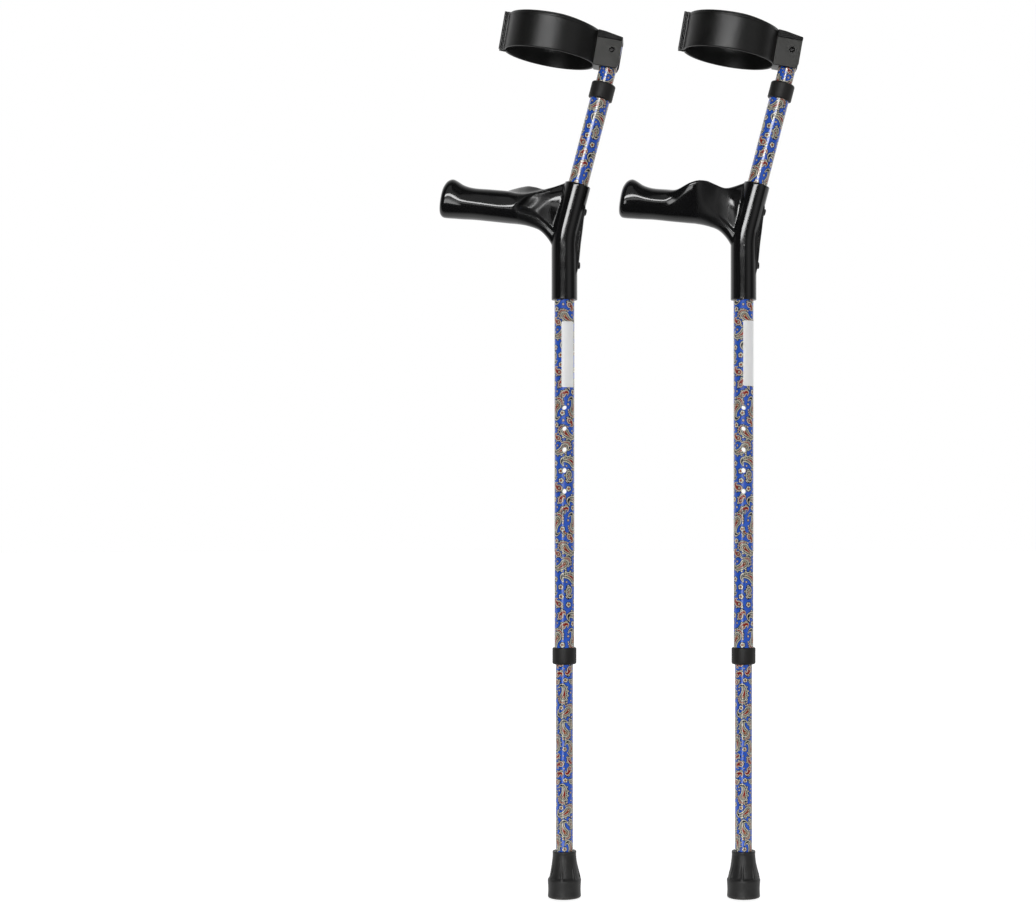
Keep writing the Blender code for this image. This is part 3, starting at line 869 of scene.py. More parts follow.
def paisley():
    t = Tree("printed_tube")
    uv = t.node("ShaderNodeUVMap", uv_map="tube").outputs[0]
    spots = {}
    for i in (0, 1):
        for j in (0, 1):
            n = t.node("ShaderNodeVectorMath", operation="WRAP")
            t.links.new(uv, n.inputs[0])
            n.inputs[1].default_value = (TILE[0] * (1 - 0.5 * i), TILE[1] * (1 - 0.5 * j), 1.0)
            n.inputs[2].default_value = (-0.5 * i * TILE[0], -0.5 * j * TILE[1], -1.0)
            spots[i, j] = n.outputs["Vector"]
    p = t.place()
    cloud = t.noise(p, 45.0, 3.0)
    colour = t.mix(t.remap(cloud, 0.3, 0.7, 0.0, 1.0), srgb(*GROUND), srgb(*GROUND_LIT))
    pen = NodePen(t)
    for rows, shape, draw in print_layers():
        x, y, kind = nearest_motif(t, spots, rows, shape)
        colour = draw(pen, colour, x, y, kind)
    grain = t.noise(p, 160.0, 4.0, 0.6)
    t.put(
        Base_Color=colour,
        Roughness=t.remap(grain, 0.3, 0.7, 0.3, 0.38),
        Coat_Weight=1.0,
        Coat_Roughness=0.03,
        Coat_IOR=1.5,
        IOR=1.3,
    )
    return t.mat


MAT = {
    "printed": paisley(),
    "gloss": gloss_black(),
    "satin": satin_black("satin_black_plastic", srgb(22, 22, 22), srgb(29, 29, 28), 0.3, 0.38, 0.00005),
    # a lighter grey copy of the cuff's black plastic for the block's flat cheeks: a painted highlight where they face
    # the light
    "cheek": satin_black("black_plastic_painted_highlight", srgb(66, 66, 64), srgb(78, 78, 75), 0.5, 0.62, 0.00008),
    # a darker copy of the cuff's black plastic for the top plate's sides: painted shade
    "plate": satin_black("black_plastic_painted_shade", srgb(10, 10, 10), srgb(14, 14, 14), 0.6, 0.7, 0.00005),
    "collar": satin_black("collar_plastic", srgb(24, 23, 22), srgb(33, 31, 30), 0.5, 0.6, 0.00005),
    "rubber": rubber(),
    "steel": metal("plated_steel", srgb(188, 188, 190), srgb(214, 213, 210), 0.16, 0.28),
    "dark_steel": metal("dark_steel", srgb(46, 46, 47), srgb(64, 63, 62), 0.26, 0.4),
    "spring": metal("spring_steel", srgb(150, 152, 156), srgb(176, 177, 178), 0.25, 0.38, (1.0, 1.0, 0.1)),
    "tube_metal": metal("drawn_aluminium", srgb(176, 178, 181), srgb(198, 199, 201), 0.28, 0.42, (1.0, 1.0, 0.02)),
    "label": label_film_painted_glow(),
}


# ------------------------------------------------------------ tubes
def bent_rings(z_low, s_high, more=()):
    """(centre x, centre z, tilt, length from the low end) along the bent axis."""
    arc = BEND_R * TILT
    total = (ARC_Z - z_low) + arc + (s_high - REACH)
    stops = {0.0, total}
    stops.update(ARC_Z - z_low + arc * i / 14 for i in range(15))
    stops.update(m for m in more)
    rings = []
    for t in sorted(stops):
        a = t - (ARC_Z - z_low)
        if a <= 0:
            rings.append((0.0, z_low + t, 0.0, t))
        elif a < arc:
            b = a / BEND_R
            rings.append((BEND_R * (1 - math.cos(b)), ARC_Z + BEND_R * math.sin(b), b, t))
        else:
            x, _, z = along(REACH + a - arc)
            rings.append((x, z, TILT, t))
    return rings


def straight_rings(low, high, more=()):
    return [(0.0, z, 0.0, z - low) for z in sorted({low, high, *more})]


def sweep_tube(name, rings, outer, bore, strips, phase, mats, sides=96):
    """An open-ended pipe. The map called tube is in millimetres round and along
    the outer surface; OFBake lays the pipe out as strips side by side."""
    verts, faces, kinds = [], [], []
    n = len(rings)
    for radius in (outer, bore):
        for cx, cz, tilt, _ in rings:
            for i in range(sides):
                a = math.tau * i / sides
                verts.append(
                    (
                        cx + radius * math.sin(a) * math.cos(tilt),
                        radius * math.cos(a),
                        cz - radius * math.sin(a) * math.sin(tilt),
                    )
                )
    for k in range(n - 1):
        for i in range(sides):
            j = (i + 1) % sides
            faces.append((k * sides + i, k * sides + j, (k + 1) * sides + j, (k + 1) * sides + i))
            kinds.append((0, k, i))
    base = n * sides
    for k in range(n - 1):
        for i in range(sides):
            j = (i + 1) % sides
            faces.append(
                (base + k * sides + j, base + k * sides + i, base + (k + 1) * sides + i, base + (k + 1) * sides + j)
            )
            kinds.append((1, k, i))
    for i in range(sides):
        j = (i + 1) % sides
        faces.append((i, base + i, base + j, j))
        kinds.append((2, 0, i))
        t = (n - 1) * sides
        faces.append((t + i, t + j, base + t + j, base + t + i))
        kinds.append((3, n - 1, i))
    ob = mesh_object(name, verts, faces, mats)
    me = ob.data
    me.polygons.foreach_set("material_index", [0 if k[0] == 0 else 1 for k in kinds])
    pattern = me.uv_layers.new(name="tube").data
    bake = me.uv_layers.new(name="OFBake").data
    low, total = rings[0][3], rings[-1][3] - rings[0][3]
    scale = TUBE_R / outer
    for poly, (kind, k, i) in zip(me.polygons, kinds):
        for li in poly.loop_indices:
            v = me.loops[li].vertex_index % base
            ring, col = divmod(v, sides)
            if col == 0 and i == sides - 1:
                col = sides
            t = rings[ring][3]
            pattern[li].uv = (
                col / sides * math.tau * TUBE_R + phase[0],
                t * scale + phase[1],
            )
            share = (t - low) / total
            if kind == 0:
                mid = (rings[k][3] + rings[k + 1][3]) / 2
                strip = min(strips - 1, int((mid - low) / total * strips))
                w = 0.9 / strips
                bake[li].uv = (
                    strip * w + 0.004 + (w - 0.008) * col / sides,
                    0.006 + 0.988 * (share * strips - strip),
                )
            elif kind == 1:
                bake[li].uv = (0.908 + 0.05 * col / sides, 0.006 + 0.988 * share)
            else:
                inner = 1 if me.loops[li].vertex_index >= base else 0
                x = (0.967, 0.984)[kind - 2] + 0.01 * inner
                bake[li].uv = (x, 0.006 + 0.988 * col / sides)
    return ob


CUT_UV = {"tube": (0.0, 0.0), "OFBake": (0.93, 0.5)}


def true_normals(ob, outer):
    """Gives the outer surface the normals of a real round tube, so that faces
    cut by holes don't show in a reflection."""
    me = ob.data
    me.shade_smooth()
    me.set_sharp_from_angle(angle=math.radians(38))
    normals = [(0.0, 0.0, 0.0)] * len(me.loops)
    for poly in me.polygons:
        if poly.material_index:
            continue
        for li in poly.loop_indices:
            p = me.vertices[me.loops[li].vertex_index].co * 1000
            n = Vector((p.x, p.y, 0.0))
            if p.z > ARC_Z and outer > INNER_R + 0.1:
                d = Vector((p.x - BEND_R, 0.0, p.z - ARC_Z))
                a = math.atan2(d.z, -d.x)
                if a >= TILT:
                    t = Vector((math.sin(TILT), 0.0, math.cos(TILT)))
                    q = p - Vector((0.0, 0.0, VERTEX_Z))
                    n = q - t * q.dot(t)
                else:
                    c = Vector((BEND_R * (1 - math.cos(a)), 0.0, ARC_Z + BEND_R * math.sin(a)))
                    n = p - c
            normals[li] = tuple(n.normalized())
    me.normals_split_custom_set(normals)


def upper_tube():
    rings = bent_rings(262.0, 168.5)
    total = rings[-1][3]
    rings = bent_rings(262.0, 168.5, [total / 3, total * 2 / 3])
    mats = (MAT["printed"], MAT["tube_metal"])
    ob = sweep_tube("upper_tube", rings, TUBE_R, TUBE_BORE_R, 3, (0.0, 0.0), mats)
    back = Vector((math.cos(TILT), 0.0, -math.sin(TILT)))
    rows = [(HOLE_R, 40.0, (0, 0, z), (0, 1, 0)) for z in LEG_HOLES]
    rows += [(HOLE_R, 14.0, (along(s)[0], 10.0, along(s)[2]), (0, 1, 0)) for s in STEM_HOLES]
    rows += [(2.4, 12.0, along(32.0, 8.0), back), (2.4, 12.0, (8.0, 0.0, 694.5), (1, 0, 0))]
    cutters = join([rod("hole", r, l, c, a, 28, mats, CUT_UV) for r, l, c, a in rows], "holes")
    boolean(ob, cutters)
    true_normals(ob, TUBE_R)
    return ob


def leg_tube():
    mats = (MAT["printed"], MAT["tube_metal"])
    low, high = 12.6, 441.0
    splits = [low + (high - low) * k / 3 for k in (1, 2)]
    ob = sweep_tube("leg_tube", straight_rings(low, high, splits), INNER_R, INNER_BORE_R, 3, (31.0, 52.0), mats)
    boolean(ob, rod("hole", HOLE_R, 8.0, (0, -9.0, LEG_BUTTON_Z), (0, 1, 0), 28, mats, CUT_UV))
    true_normals(ob, INNER_R)
    return ob


def stem_tube():
    """Made upright at s along Z, then turned into the forearm's frame."""
    mats = (MAT["printed"], MAT["tube_metal"])
    low, high = 60.0, 218.0
    ob = sweep_tube(
        "stem_tube", straight_rings(low, high, [(low + high) / 2]), INNER_R, INNER_BORE_R, 2, (12.0, 95.0), mats
    )
    rows = [
        (HOLE_R, 8.0, (0.0, 9.0, STEM_BUTTON_S), (0, 1, 0)),
        (2.0, 30.0, (0.0, 0.0, PIVOT_S), (0, 1, 0)),
    ]
    cutters = join([rod("hole", r, l, c, a, 28, mats, CUT_UV) for r, l, c, a in rows], "holes")
    boolean(ob, cutters)
    true_normals(ob, INNER_R)
    return moved(ob, FOREARM)


# ------------------------------------------------------------ collars and foot
def collar(flip):
    """Stepped bush with softly rounded outer edges."""
    h, r = 18.5, 13.3
    top = arc_points(r - 1.3, h - 1.3, 1.3, 90, 0, 6)
    low = arc_points(r - 2.3, 2.3, 2.3, 0, -90, 8)
    profile = top + [(r, h * 0.5)] + low + [
        (10.3, 0.0), (9.88, 0.4), (9.88, 5.6), (11.45, 5.6), (11.45, h - 0.3), (11.7, h),
    ]
    ob = turned("collar", profile, 96, (MAT["collar"],))
    if flip:
        moved(ob, shift(0, 0, h) @ Matrix.Rotation(math.pi, 4, "X"))
    shade(ob, 50)
    return ob


def ferrule():
    """Ribbed rubber foot with a ringed tread and a socket for the tube."""
    steps = 364
    ribs = 7
    upper = (
        [(12.35, 51.0), (12.75, 50.9), (13.0, 50.6), (13.1, 50.0), (13.1, 48.6), (12.95, 48.2), (12.9, 47.6)]
    )
    n = 26
    for i in range(n + 1):
        z = 47.0 - (47.0 - 22.6) * i / n
        t = (47.0 - z) / 24.4
        upper.append((12.92 + 3.45 * t ** 1.35, z))
    shoulder = [(16.9, 21.9), (17.5, 21.2), (17.95, 20.6), (18.25, 20.0), (18.4, 19.2), (18.36, 18.2)]
    wall = []
    for i in range(9):
        t = (i + 1) / 9
        wall.append((18.3 - 0.42 * math.sin(math.pi * min(1.0, t * 0.9)) + 0.02 * t, 17.2 - 15.0 * t))
    foot = [(18.22, 1.5), (18.05, 0.8), (17.6, 0.25), (17.0, 0.0)]
    tread = []
    r = 16.2
    while r > 3.0:
        tread += [(r, 0.0), (r - 0.35, 1.1), (r - 1.25, 1.1), (r - 1.6, 0.0)]
        r -= 3.1
    socket = [(0.0, 0.9), (0.0, 10.0), (9.92, 10.0), (9.92, 50.4), (10.5, 51.0)]
    profile = upper + shoulder + wall + foot + tread + [(1.9, 0.0), (1.4, 0.9)] + socket
    verts, faces, rings = [], [], []
    for k, (r, z) in enumerate(profile):
        if r < 1e-6:
            rings.append([len(verts)] * steps)
            verts.append((0.0, 0.0, z))
            continue
        first = len(verts)
        outer = k < len(upper) + 3
        for i in range(steps):
            a = math.tau * i / steps
            rr = r
            if outer and 21.0 < z < 40.0:
                # raised ribs grow out of the cone and run into the shoulder
                w = abs(((a - math.radians(-98.0)) * ribs / math.tau + 0.5) % 1.0 - 0.5) / ribs * math.tau * r
                t = min(1.0, max(0.0, (40.0 - z) / 15.0))
                half = 0.9 + 0.9 * t
                bump = max(0.0, 1.0 - (w / half) ** 2) ** 0.6
                rr += 1.15 * t ** 1.2 * bump * min(1.0, (z - 20.9) / 1.2)
            verts.append((rr * math.cos(a), rr * math.sin(a), z))
        rings.append(list(range(first, first + steps)))
    pairs = list(zip(rings, rings[1:])) + [(rings[-1], rings[0])]
    for a, b in pairs:
        if len(set(a)) == 1 and len(set(b)) == 1:
            continue
        for i in range(steps):
            j = (i + 1) % steps
            face = []
            for v in (a[i], a[j], b[j], b[i]):
                if v not in face:
                    face.append(v)
            faces.append(face)
    ob = mesh_object("ferrule", verts, faces, (MAT["rubber"],))
    outward(ob)
    shade(ob, 42)
    return ob


# ------------------------------------------------------------ small metal
def snap_button():
    """Pip along +Z with a domed end and a flange inside the tube's wall."""
    profile = [(0.0, 14.3)] + arc_points(0.0, 11.8, 2.35, 84, 12, 10)[0:0]
    for i in range(1, 11):
        a = math.radians(90 - 9 * i)
        profile.append((2.35 * math.cos(a), 11.95 + 2.35 * math.sin(a)))
    profile += [(2.35, 7.75), (2.5, 7.55), (3.1, 7.4), (3.3, 7.2), (3.3, 6.45), (3.15, 6.3), (0.0, 6.3)]
    ob = turned("button", profile, 40, (MAT["steel"],))
    shade(ob, 45)
    return ob


def cross_cutter(size, low, high, angle):
    """A tapered plus for a driver's recess, pointing along +Z."""
    a, b = size / 2, size * 0.13
    plus = [
        (a, b), (b, b), (b, a), (-b, a), (-b, b), (-a, b),
        (-a, -b), (-b, -b), (-b, -a), (b, -a), (b, -b), (a, -b),
    ]
    c, s = math.cos(angle), math.sin(angle)
    plus = [(c * x - s * y, s * x + c * y) for x, y in plus]
    n = len(plus)
    verts = [(x * 0.72, y * 0.72, low) for x, y in plus] + [(x * 1.08, y * 1.08, high) for x, y in plus]
    faces = [list(range(n))[::-1], list(range(n, 2 * n))]
    faces += [[i, (i + 1) % n, n + (i + 1) % n, n + i] for i in range(n)]
    ob = mesh_object("recess", verts, faces)
    outward(ob)
    return ob


def pan_screw(head_r, head_h, shank_r, length, recess, angle=0.35):
    """Head seat at z = 0, shank down."""
    profile = [(0.0, head_h)]
    for i in range(1, 9):
        a = math.radians(90 - 90 * i / 8)
        profile.append((head_r * 0.42 + head_r * 0.58 * math.cos(a), head_h * 0.3 + head_h * 0.7 * math.sin(a)))
    profile += [(head_r, 0.12), (head_r - 0.12, 0.0), (shank_r, 0.0)]
    z, pitch = -0.8, 0.9
    while z > -length + 2.2:
        profile += [(shank_r, z), (shank_r - 0.28, z - pitch / 2)]
        z -= pitch
    profile += [(shank_r - 0.1, -length + 1.6), (shank_r * 0.35, -length), (0.0, -length)]
    ob = turned("screw", profile, 40, (MAT["dark_steel"],))
    boolean(ob, cross_cutter(recess, head_h - 1.2, head_h + 0.4, angle))
    shade(ob, 35)
    return ob


def hex_nut(circum, thick, bore):
    """A hex nut chamfered at both faces, along Z."""
    verts, faces = [], []
    n = 6
    rows = [
        (circum * 0.9, thick / 2), (circum, thick / 2 - 0.45), (circum, -thick / 2 + 0.45), (circum * 0.9, -thick / 2),
    ]
    for r, z in rows:
        for i in range(n):
            a = math.tau * i / n
            verts.append((r * math.cos(a), r * math.sin(a), z))
    for k in range(3):
        for i in range(n):
            j = (i + 1) % n
            faces.append((k * n + i, k * n + j, (k + 1) * n + j, (k + 1) * n + i))
    faces.append(list(range(n)))
    faces.append(list(range(3 * n, 4 * n))[::-1])
    ob = mesh_object("nut", verts, faces, (MAT["steel"],))
    outward(ob)
    boolean(ob, rod("bore", bore, thick + 4, (0, 0, 0), (0, 0, 1), 32))
    shade(ob, 25)
    return ob


# ------------------------------------------------------------ handle
# x, z of the top, z of the bottom, half width inside, half width outside
GRIP = [
    (-135.8, 775.5, 757.0, 8.5, 8.5),
    (-134.2, 782.0, 751.0, 14.0, 14.0),
    (-130.8, 787.0, 747.5, 16.3, 16.3),
    (-125.5, 789.0, 746.5, 16.8, 16.8),
    (-119.0, 786.6, 746.0, 16.8, 16.8),
    (-111.0, 782.3, 745.4, 16.6, 16.6),
    (-99.0, 779.2, 744.8, 16.1, 16.3),
    (-80.0, 777.8, 742.9, 15.2, 16.1),
    (-62.0, 776.3, 741.2, 14.4, 17.6),
    (-50.0, 774.2, 740.0, 13.4, 17.2),
    (-38.0, 774.4, 737.4, 12.0, 14.8),
    (-27.0, 776.8, 732.8, 10.4, 12.2),
    (-18.0, 779.2, 723.5, 9.6, 11.0),
    (-10.0, 781.6, 710.5, 9.3, 10.6),
    (2.0, 785.8, 700.0, 9.0, 9.0),
]
TIP_LEAN = 0.16
# how far, in degrees, the top of the section leans towards the palm rest's side
ROLL = ((-126.0, -2.0), (-112.0, 7.0), (-92.0, 10.0), (-72.0, 15.0), (-56.0, 12.0), (-42.0, 3.0), (-30.0, 0.0), (0.0, 0.0))


def ease(t):
    t = min(1.0, max(0.0, t))
    return t * t * (3 - 2 * t)


def fine_rows(rows, count):
    """A smooth curve through the rows, by cubic pieces."""
    rows = np.array(rows, float)
    knots = [0.0]
    for a, b in zip(rows, rows[1:]):
        knots.append(knots[-1] + math.sqrt(math.hypot(b[0] - a[0], 0.5 * (b[1] - a[1]), b[3] - a[3])))
    knots = np.array(knots)
    slope = np.diff(rows, axis=0) / np.diff(knots)[:, None]
    m = np.vstack([slope[:1], (slope[1:] + slope[:-1]) / 2, slope[-1:]])
    out = []
    for t in np.linspace(knots[0], knots[-1], count):
        i = min(len(knots) - 2, int(np.searchsorted(knots, t, side="right")) - 1)
        h = knots[i + 1] - knots[i]
        s = (t - knots[i]) / h
        out.append(
            (2 * s**3 - 3 * s**2 + 1) * rows[i]
            + (s**3 - 2 * s**2 + s) * h * m[i]
            + (-2 * s**3 + 3 * s**2) * rows[i + 1]
            + (s**3 - s**2) * h * m[i + 1]
        )
    return out


# where the thumb's hollow begins on the inside face: its edge x by height, and its lower edge z by x
HOLLOW_FRONT = (
    (750.0, -61.0), (754.0, -56.0), (757.0, -52.5), (761.6, -47.9), (766.0, -44.0), (769.5, -40.7), (772.0, -36.5),
    (773.5, -31.0), (775.0, -24.0), (777.0, -17.0),
)
HOLLOW_FLOOR = ((-60.0, 754.0), (-45.0, 749.0), (-27.0, 744.0), (-18.0, 736.5), (-9.0, 727.5), (0.0, 717.0))
LEDGE = ((-50.0, 14.0), (-34.0, 8.0), (-24.0, 4.6), (-10.0, 3.6))      # how far it takes to fall in, by x


def through(rows, at):
    return float(np.interp(at, [r[0] for r in rows], [r[1] for r in rows]))


def grip_point(row, a):
    """A point of the hand grip's surface, with the palm rest's side at +y."""
    x, top, bottom, inside, outside = row
    mid, half = (top + bottom) / 2, (top - bottom) / 2
    lean = TIP_LEAN * min(1.0, max(0.0, (-100.0 - x) / 25.0))
    c, s = math.cos(a), math.sin(a)
    e = 2 / 2.25
    squarer = ease((x + 48.0) / 26.0)
    if s < 0:
        e = 2 / (2.25 + 1.35 * squarer)
    cy = math.copysign(abs(c) ** e, c)
    sz = math.copysign(abs(s) ** e, s)
    w = outside if c > 0 else inside
    roll = math.radians(through(ROLL, x))
    # the web is wider at its top
    y, z = w * cy * (1.0 + 0.2 * sz * ease((x + 50.0) / 18.0)), half * sz
    y, z = y * math.cos(roll) + z * math.sin(roll), mid + z * math.cos(roll) - y * math.sin(roll)
    if c < 0:
        # the inside face is hollowed for the thumb behind an oblique crease
        line = (x - through(HOLLOW_FRONT, z)) * 0.72
        down = ease((z - through(HOLLOW_FLOOR, x)) / through(LEDGE, x))
        back = ease((line + 1.5) / 5.0) * (1.0 - 0.6 * ease((line - 8.0) / 13.0))
        y += 4.2 * back * down * abs(cy) * (1.0 + 0.048 * max(0.0, 774.0 - z))
        # the grip stays full up to that crease
        front = ease((x + 74.0) / 22.0) * (1.0 - ease((line + 1.4) / 3.6))
        y -= 0.9 * front * down * abs(cy)
    else:
        # the other face has a shallower hollow between the palm rest and the sleeve
        down = ease((z - through(HOLLOW_FLOOR, x)) / through(LEDGE, x))
        y -= 2.6 * ease((x + 54.0) / 26.0) * down * abs(cy)
    # the palm rest swells up and out of the grip like a wing
    turn = math.degrees(a + math.pi) % 360.0 - 180.0
    share = (40.0 - turn) / 58.0 if turn < 40.0 else (turn - 40.0) / 52.0
    if share < 1.0:
        swell = 21.0 * ease((x + 89.0) / 40.0) * (1.0 - ease((x + 45.0) / 40.0))
        # its upper side is steeper than its lower side
        fall = math.cos(share * math.pi / 2) ** 2
        swell *= fall if turn < 40.0 else 0.5 * fall + 0.5 * (1.0 - share) ** 1.5
        y += 0.46 * (1.0 - ease((x + 52.0) / 26.0)) * swell
        z += 0.86 * swell
    return (x + lean * half * sz, y, z)


def solid_of_rings(name, rings):
    n = len(rings[0])
    verts = [p for ring in rings for p in ring]
    faces = []
    for k in range(len(rings) - 1):
        for i in range(n):
            j = (i + 1) % n
            faces.append((k * n + i, k * n + j, (k + 1) * n + j, (k + 1) * n + i))
    faces.append(list(range(n))[::-1])
    last = (len(rings) - 1) * n
    faces.append(list(range(last, last + n)))
    ob = mesh_object(name, verts, faces)
    outward(ob)
    return ob


def bent_bar(name, z_low, s_high, radius, sides=96):
    """Radius may be a function of the length from the low end."""
    rings = []
    for cx, cz, tilt, t in bent_rings(z_low, s_high, [k * 6.0 for k in range(1, 22)]):
        if t > (ARC_Z - z_low) + BEND_R * TILT + (s_high - REACH):
            continue
        r = radius(t) if callable(radius) else radius
        rings.append(
            [
                (
                    cx + r * math.sin(math.tau * i / sides) * math.cos(tilt),
                    r * math.cos(math.tau * i / sides),
                    cz - r * math.sin(math.tau * i / sides) * math.sin(tilt),
                )
                for i in range(sides)
            ]
        )
    return solid_of_rings(name, rings)


def screw_place(at, turn):
    return Matrix.Translation(Vector(at) * MM) @ Matrix.Rotation(math.radians(turn), 4, "Y")


SCREW_SEATS = (
    ("handle_screw_upper", along(32.0, 14.6), 104.5),
    ("handle_screw_lower", (15.2, 0.0, 694.5), 90.0),
)


def handle():
    """One moulding: grip with its palm rest, web, sleeve and rear rib are melted
    together on a fine grid, smoothed, and then cut for the tube and screws."""
    rows = fine_rows(GRIP, 150)
    sides = 120
    grip = solid_of_rings(
        "grip", [[grip_point(row, math.tau * i / sides) for i in range(sides)] for row in rows]
    )
    sleeve = bent_bar("sleeve", 656.0, 59.8, 14.25)
    rib = slab(
        "rib",
        rounded(
            [
                (8.0, 684.0), (13.6, 684.0), (15.2, 691.0), (16.6, 701.0), (18.2, 718.0), (20.0, 731.5),
                (21.5, 744.5), (23.6, 758.5), (20.0, 762.0), (14.0, 745.0), (8.0, 720.0),
            ],
            0.0,
        ),
        -5.5,
        5.5,
    )
    ob = join([grip, sleeve, rib], "handle")
    mod = ob.modifiers.new("melt", "REMESH")
    mod.mode = "VOXEL"
    mod.voxel_size = 0.00075
    mod.adaptivity = 0.0
    bake_modifiers(ob)
    mod = ob.modifiers.new("soften", "SMOOTH")
    mod.factor = 0.5
    mod.iterations = 12
    bake_modifiers(ob)
    ob.data.materials.append(MAT["gloss"])
    boolean(ob, bent_bar("bore", 648.0, 67.0, 11.42))
    for _, at, turn in SCREW_SEATS:
        seat = turned(
            "seat",
            [(0.0, 6.0), (4.3, 6.0), (4.3, -0.3), (2.4, -0.3), (2.4, -8.0), (0.0, -8.0)],
            40,
        )
        moved(seat, screw_place(at, turn))
        boolean(ob, seat)
    notches = []
    for side in (-1, 1):
        notch = slab("notch", [(-1.0, 654.0), (1.0, 654.0), (0.35, 658.6), (-0.35, 658.6)], 10.8, 16.0)
        moved(notch, Matrix.Rotation(math.radians(90 - 90 * side + 4), 4, "Z"))
        notches.append(notch)
    boolean(ob, join(notches, "notches"))
    shade(ob, 46)
    return ob


# ------------------------------------------------------------ cuff
CUFF_A, CUFF_B, CUFF_MID = 51.5, 44.97, -67.0
CUFF_LOW, CUFF_HIGH, CUFF_WALL = -18.0, 22.0, 2.8


def cuff_top(u):
    return CUFF_HIGH - 2.6 * ease((u + 62.0) / 46.0)


def cuff():
    """Made in the cuff's own frame: x runs back, z up, and the screw is at 0."""
    count = 168
    start = math.asin(3.6 / CUFF_B)
    rings = []
    for i in range(count + 1):
        a = start + (math.tau - 2 * start) * i / count
        u, y = CUFF_MID - CUFF_A * math.cos(a), CUFF_B * math.sin(a)
        nu, ny = -CUFF_B * math.cos(a), CUFF_A * math.sin(a)
        d = math.hypot(nu, ny)
        nu, ny = nu / d, ny / d
        low, high = CUFF_LOW, cuff_top(u)
        section = []

        def add(depth, v):
            section.append((u - nu * depth, y - ny * depth, v))

        r = 1.15
        for k in range(5):
            b = math.radians(22.5 * k)
            add(0.3 + r - r * math.sin(b), low + r - r * math.cos(b))
        for v, depth in (
            (low + 4.0, 0.3), ((low + high) / 2 - 6, 0.3), ((low + high) / 2 + 6, 0.3), (high - 5.4, 0.3), (high - 4.7, 0.3),
            (high - 4.35, 0.22), (high - 4.0, 0.06), (high - 3.6, 0.0), (high - 2.9, 0.0), (high - 2.5, 0.06),
            (high - 2.15, 0.22), (high - 1.8, 0.3),
        ):
            add(depth, v)
        for k in range(5):
            b = math.radians(22.5 * k)
            add(0.3 + 1.15 - 1.15 * math.cos(b), high - 1.15 + 1.15 * math.sin(b))
        for k in range(1, 5):
            b = math.radians(90 - 22.5 * k)
            add(CUFF_WALL - 1.15 + 1.15 * math.cos(b), high - 1.15 + 1.15 * math.sin(b))
        add(CUFF_WALL, (low + high) / 2)
        for k in range(5):
            b = math.radians(22.5 * k)
            add(CUFF_WALL - 1.15 + 1.15 * math.cos(b), low + 1.15 - 1.15 * math.sin(b))
        rings.append(section)
    ob = solid_of_rings("cuff", rings)
    block = slab(
        "block",
        rounded(
            [(-18.4, -19.2), (8.0, -19.2), (9.7, -14.0), (9.7, 15.0), (-10.0, 18.6), (-18.4, 19.3)],
            [0.0, 2.0, 3.0, 1.0, 3.0, 0.0],
            5,
        ),
        -13.0,
        13.0,
        0.7,
    )
    boolean(ob, block, "UNION")
    plate = slab(
        "plate",
        rounded(
            [(-18.2, 11.4), (9.9, 11.4), (9.9, 15.2), (-10.0, 18.8), (-18.2, 19.5)],
            [0.0, 0.7, 1.2, 3.0, 0.0],
            4,
        ),
        -14.4,
        14.4,
        0.6,
    )
    boolean(ob, plate, "UNION")
    for side in (-1, 1):
        # the moulded grip at the cuff's mouth: two upright ridges with a groove between
        outline = [
            (-123.4, 3.4), (-123.0, 3.0), (-117.0, 3.0), (-116.6, 3.4), (-116.6, 5.3), (-117.2, 5.9), (-119.0, 5.9),
            (-119.5, 5.3), (-119.9, 4.9), (-120.5, 4.9), (-120.9, 5.3), (-121.4, 5.8), (-122.6, 5.8), (-123.4, 5.0),
        ]
        pts = rounded([(u, y * side) for u, y in outline][:: side], 0.28, 2)
        lip = slab("lip", pts, 0.0, 41.6)
        # the outline was drawn in x and y: stand it up along z
        moved(lip, shift(0, 0, -18.4) @ Matrix(((1, 0, 0, 0), (0, 0, 1, 0), (0, 1, 0, 0), (0, 0, 0, 1))))
        outward(lip)
        boolean(ob, lip, "UNION")
    slot = slab("slot", [(-11.35, -30.0), (20.0, -30.0), (20.0, 10.9), (-11.35, 10.9)], -9.95, 9.95)
    boolean(ob, slot)
    hole = turned(
        "hole",
        [(0.0, 20.0), (3.15, 20.0), (3.15, 13.2), (2.95, 12.8), (2.95, 11.0), (2.0, 11.0), (2.0, -20.0), (0.0, -20.0)],
        48,
    )
    moved(hole, Matrix.Rotation(math.radians(90), 4, "X"))
    boolean(ob, hole)
    ob.data.materials.append(MAT["satin"])
    ob.data.materials.append(MAT["cheek"])
    ob.data.materials.append(MAT["plate"])
    for p in ob.data.polygons:
        c = p.center * 1000
        # the block's flat side faces take the grey painted highlight
        flat = abs(p.normal.y) > 0.97 and abs(abs(c.y) - 13.0) < 0.06 and c.x > -17.9 and c.z < 11.6
        # the top plate's side faces take the darker painted shade
        p.material_index = 1 if flat else 2 if abs(p.normal.y) > 0.9 and abs(abs(c.y) - 14.4) < 0.1 and c.x > -18.3 else 0
    shade(ob, 33)
    return moved(ob, CUFF_FRAME)


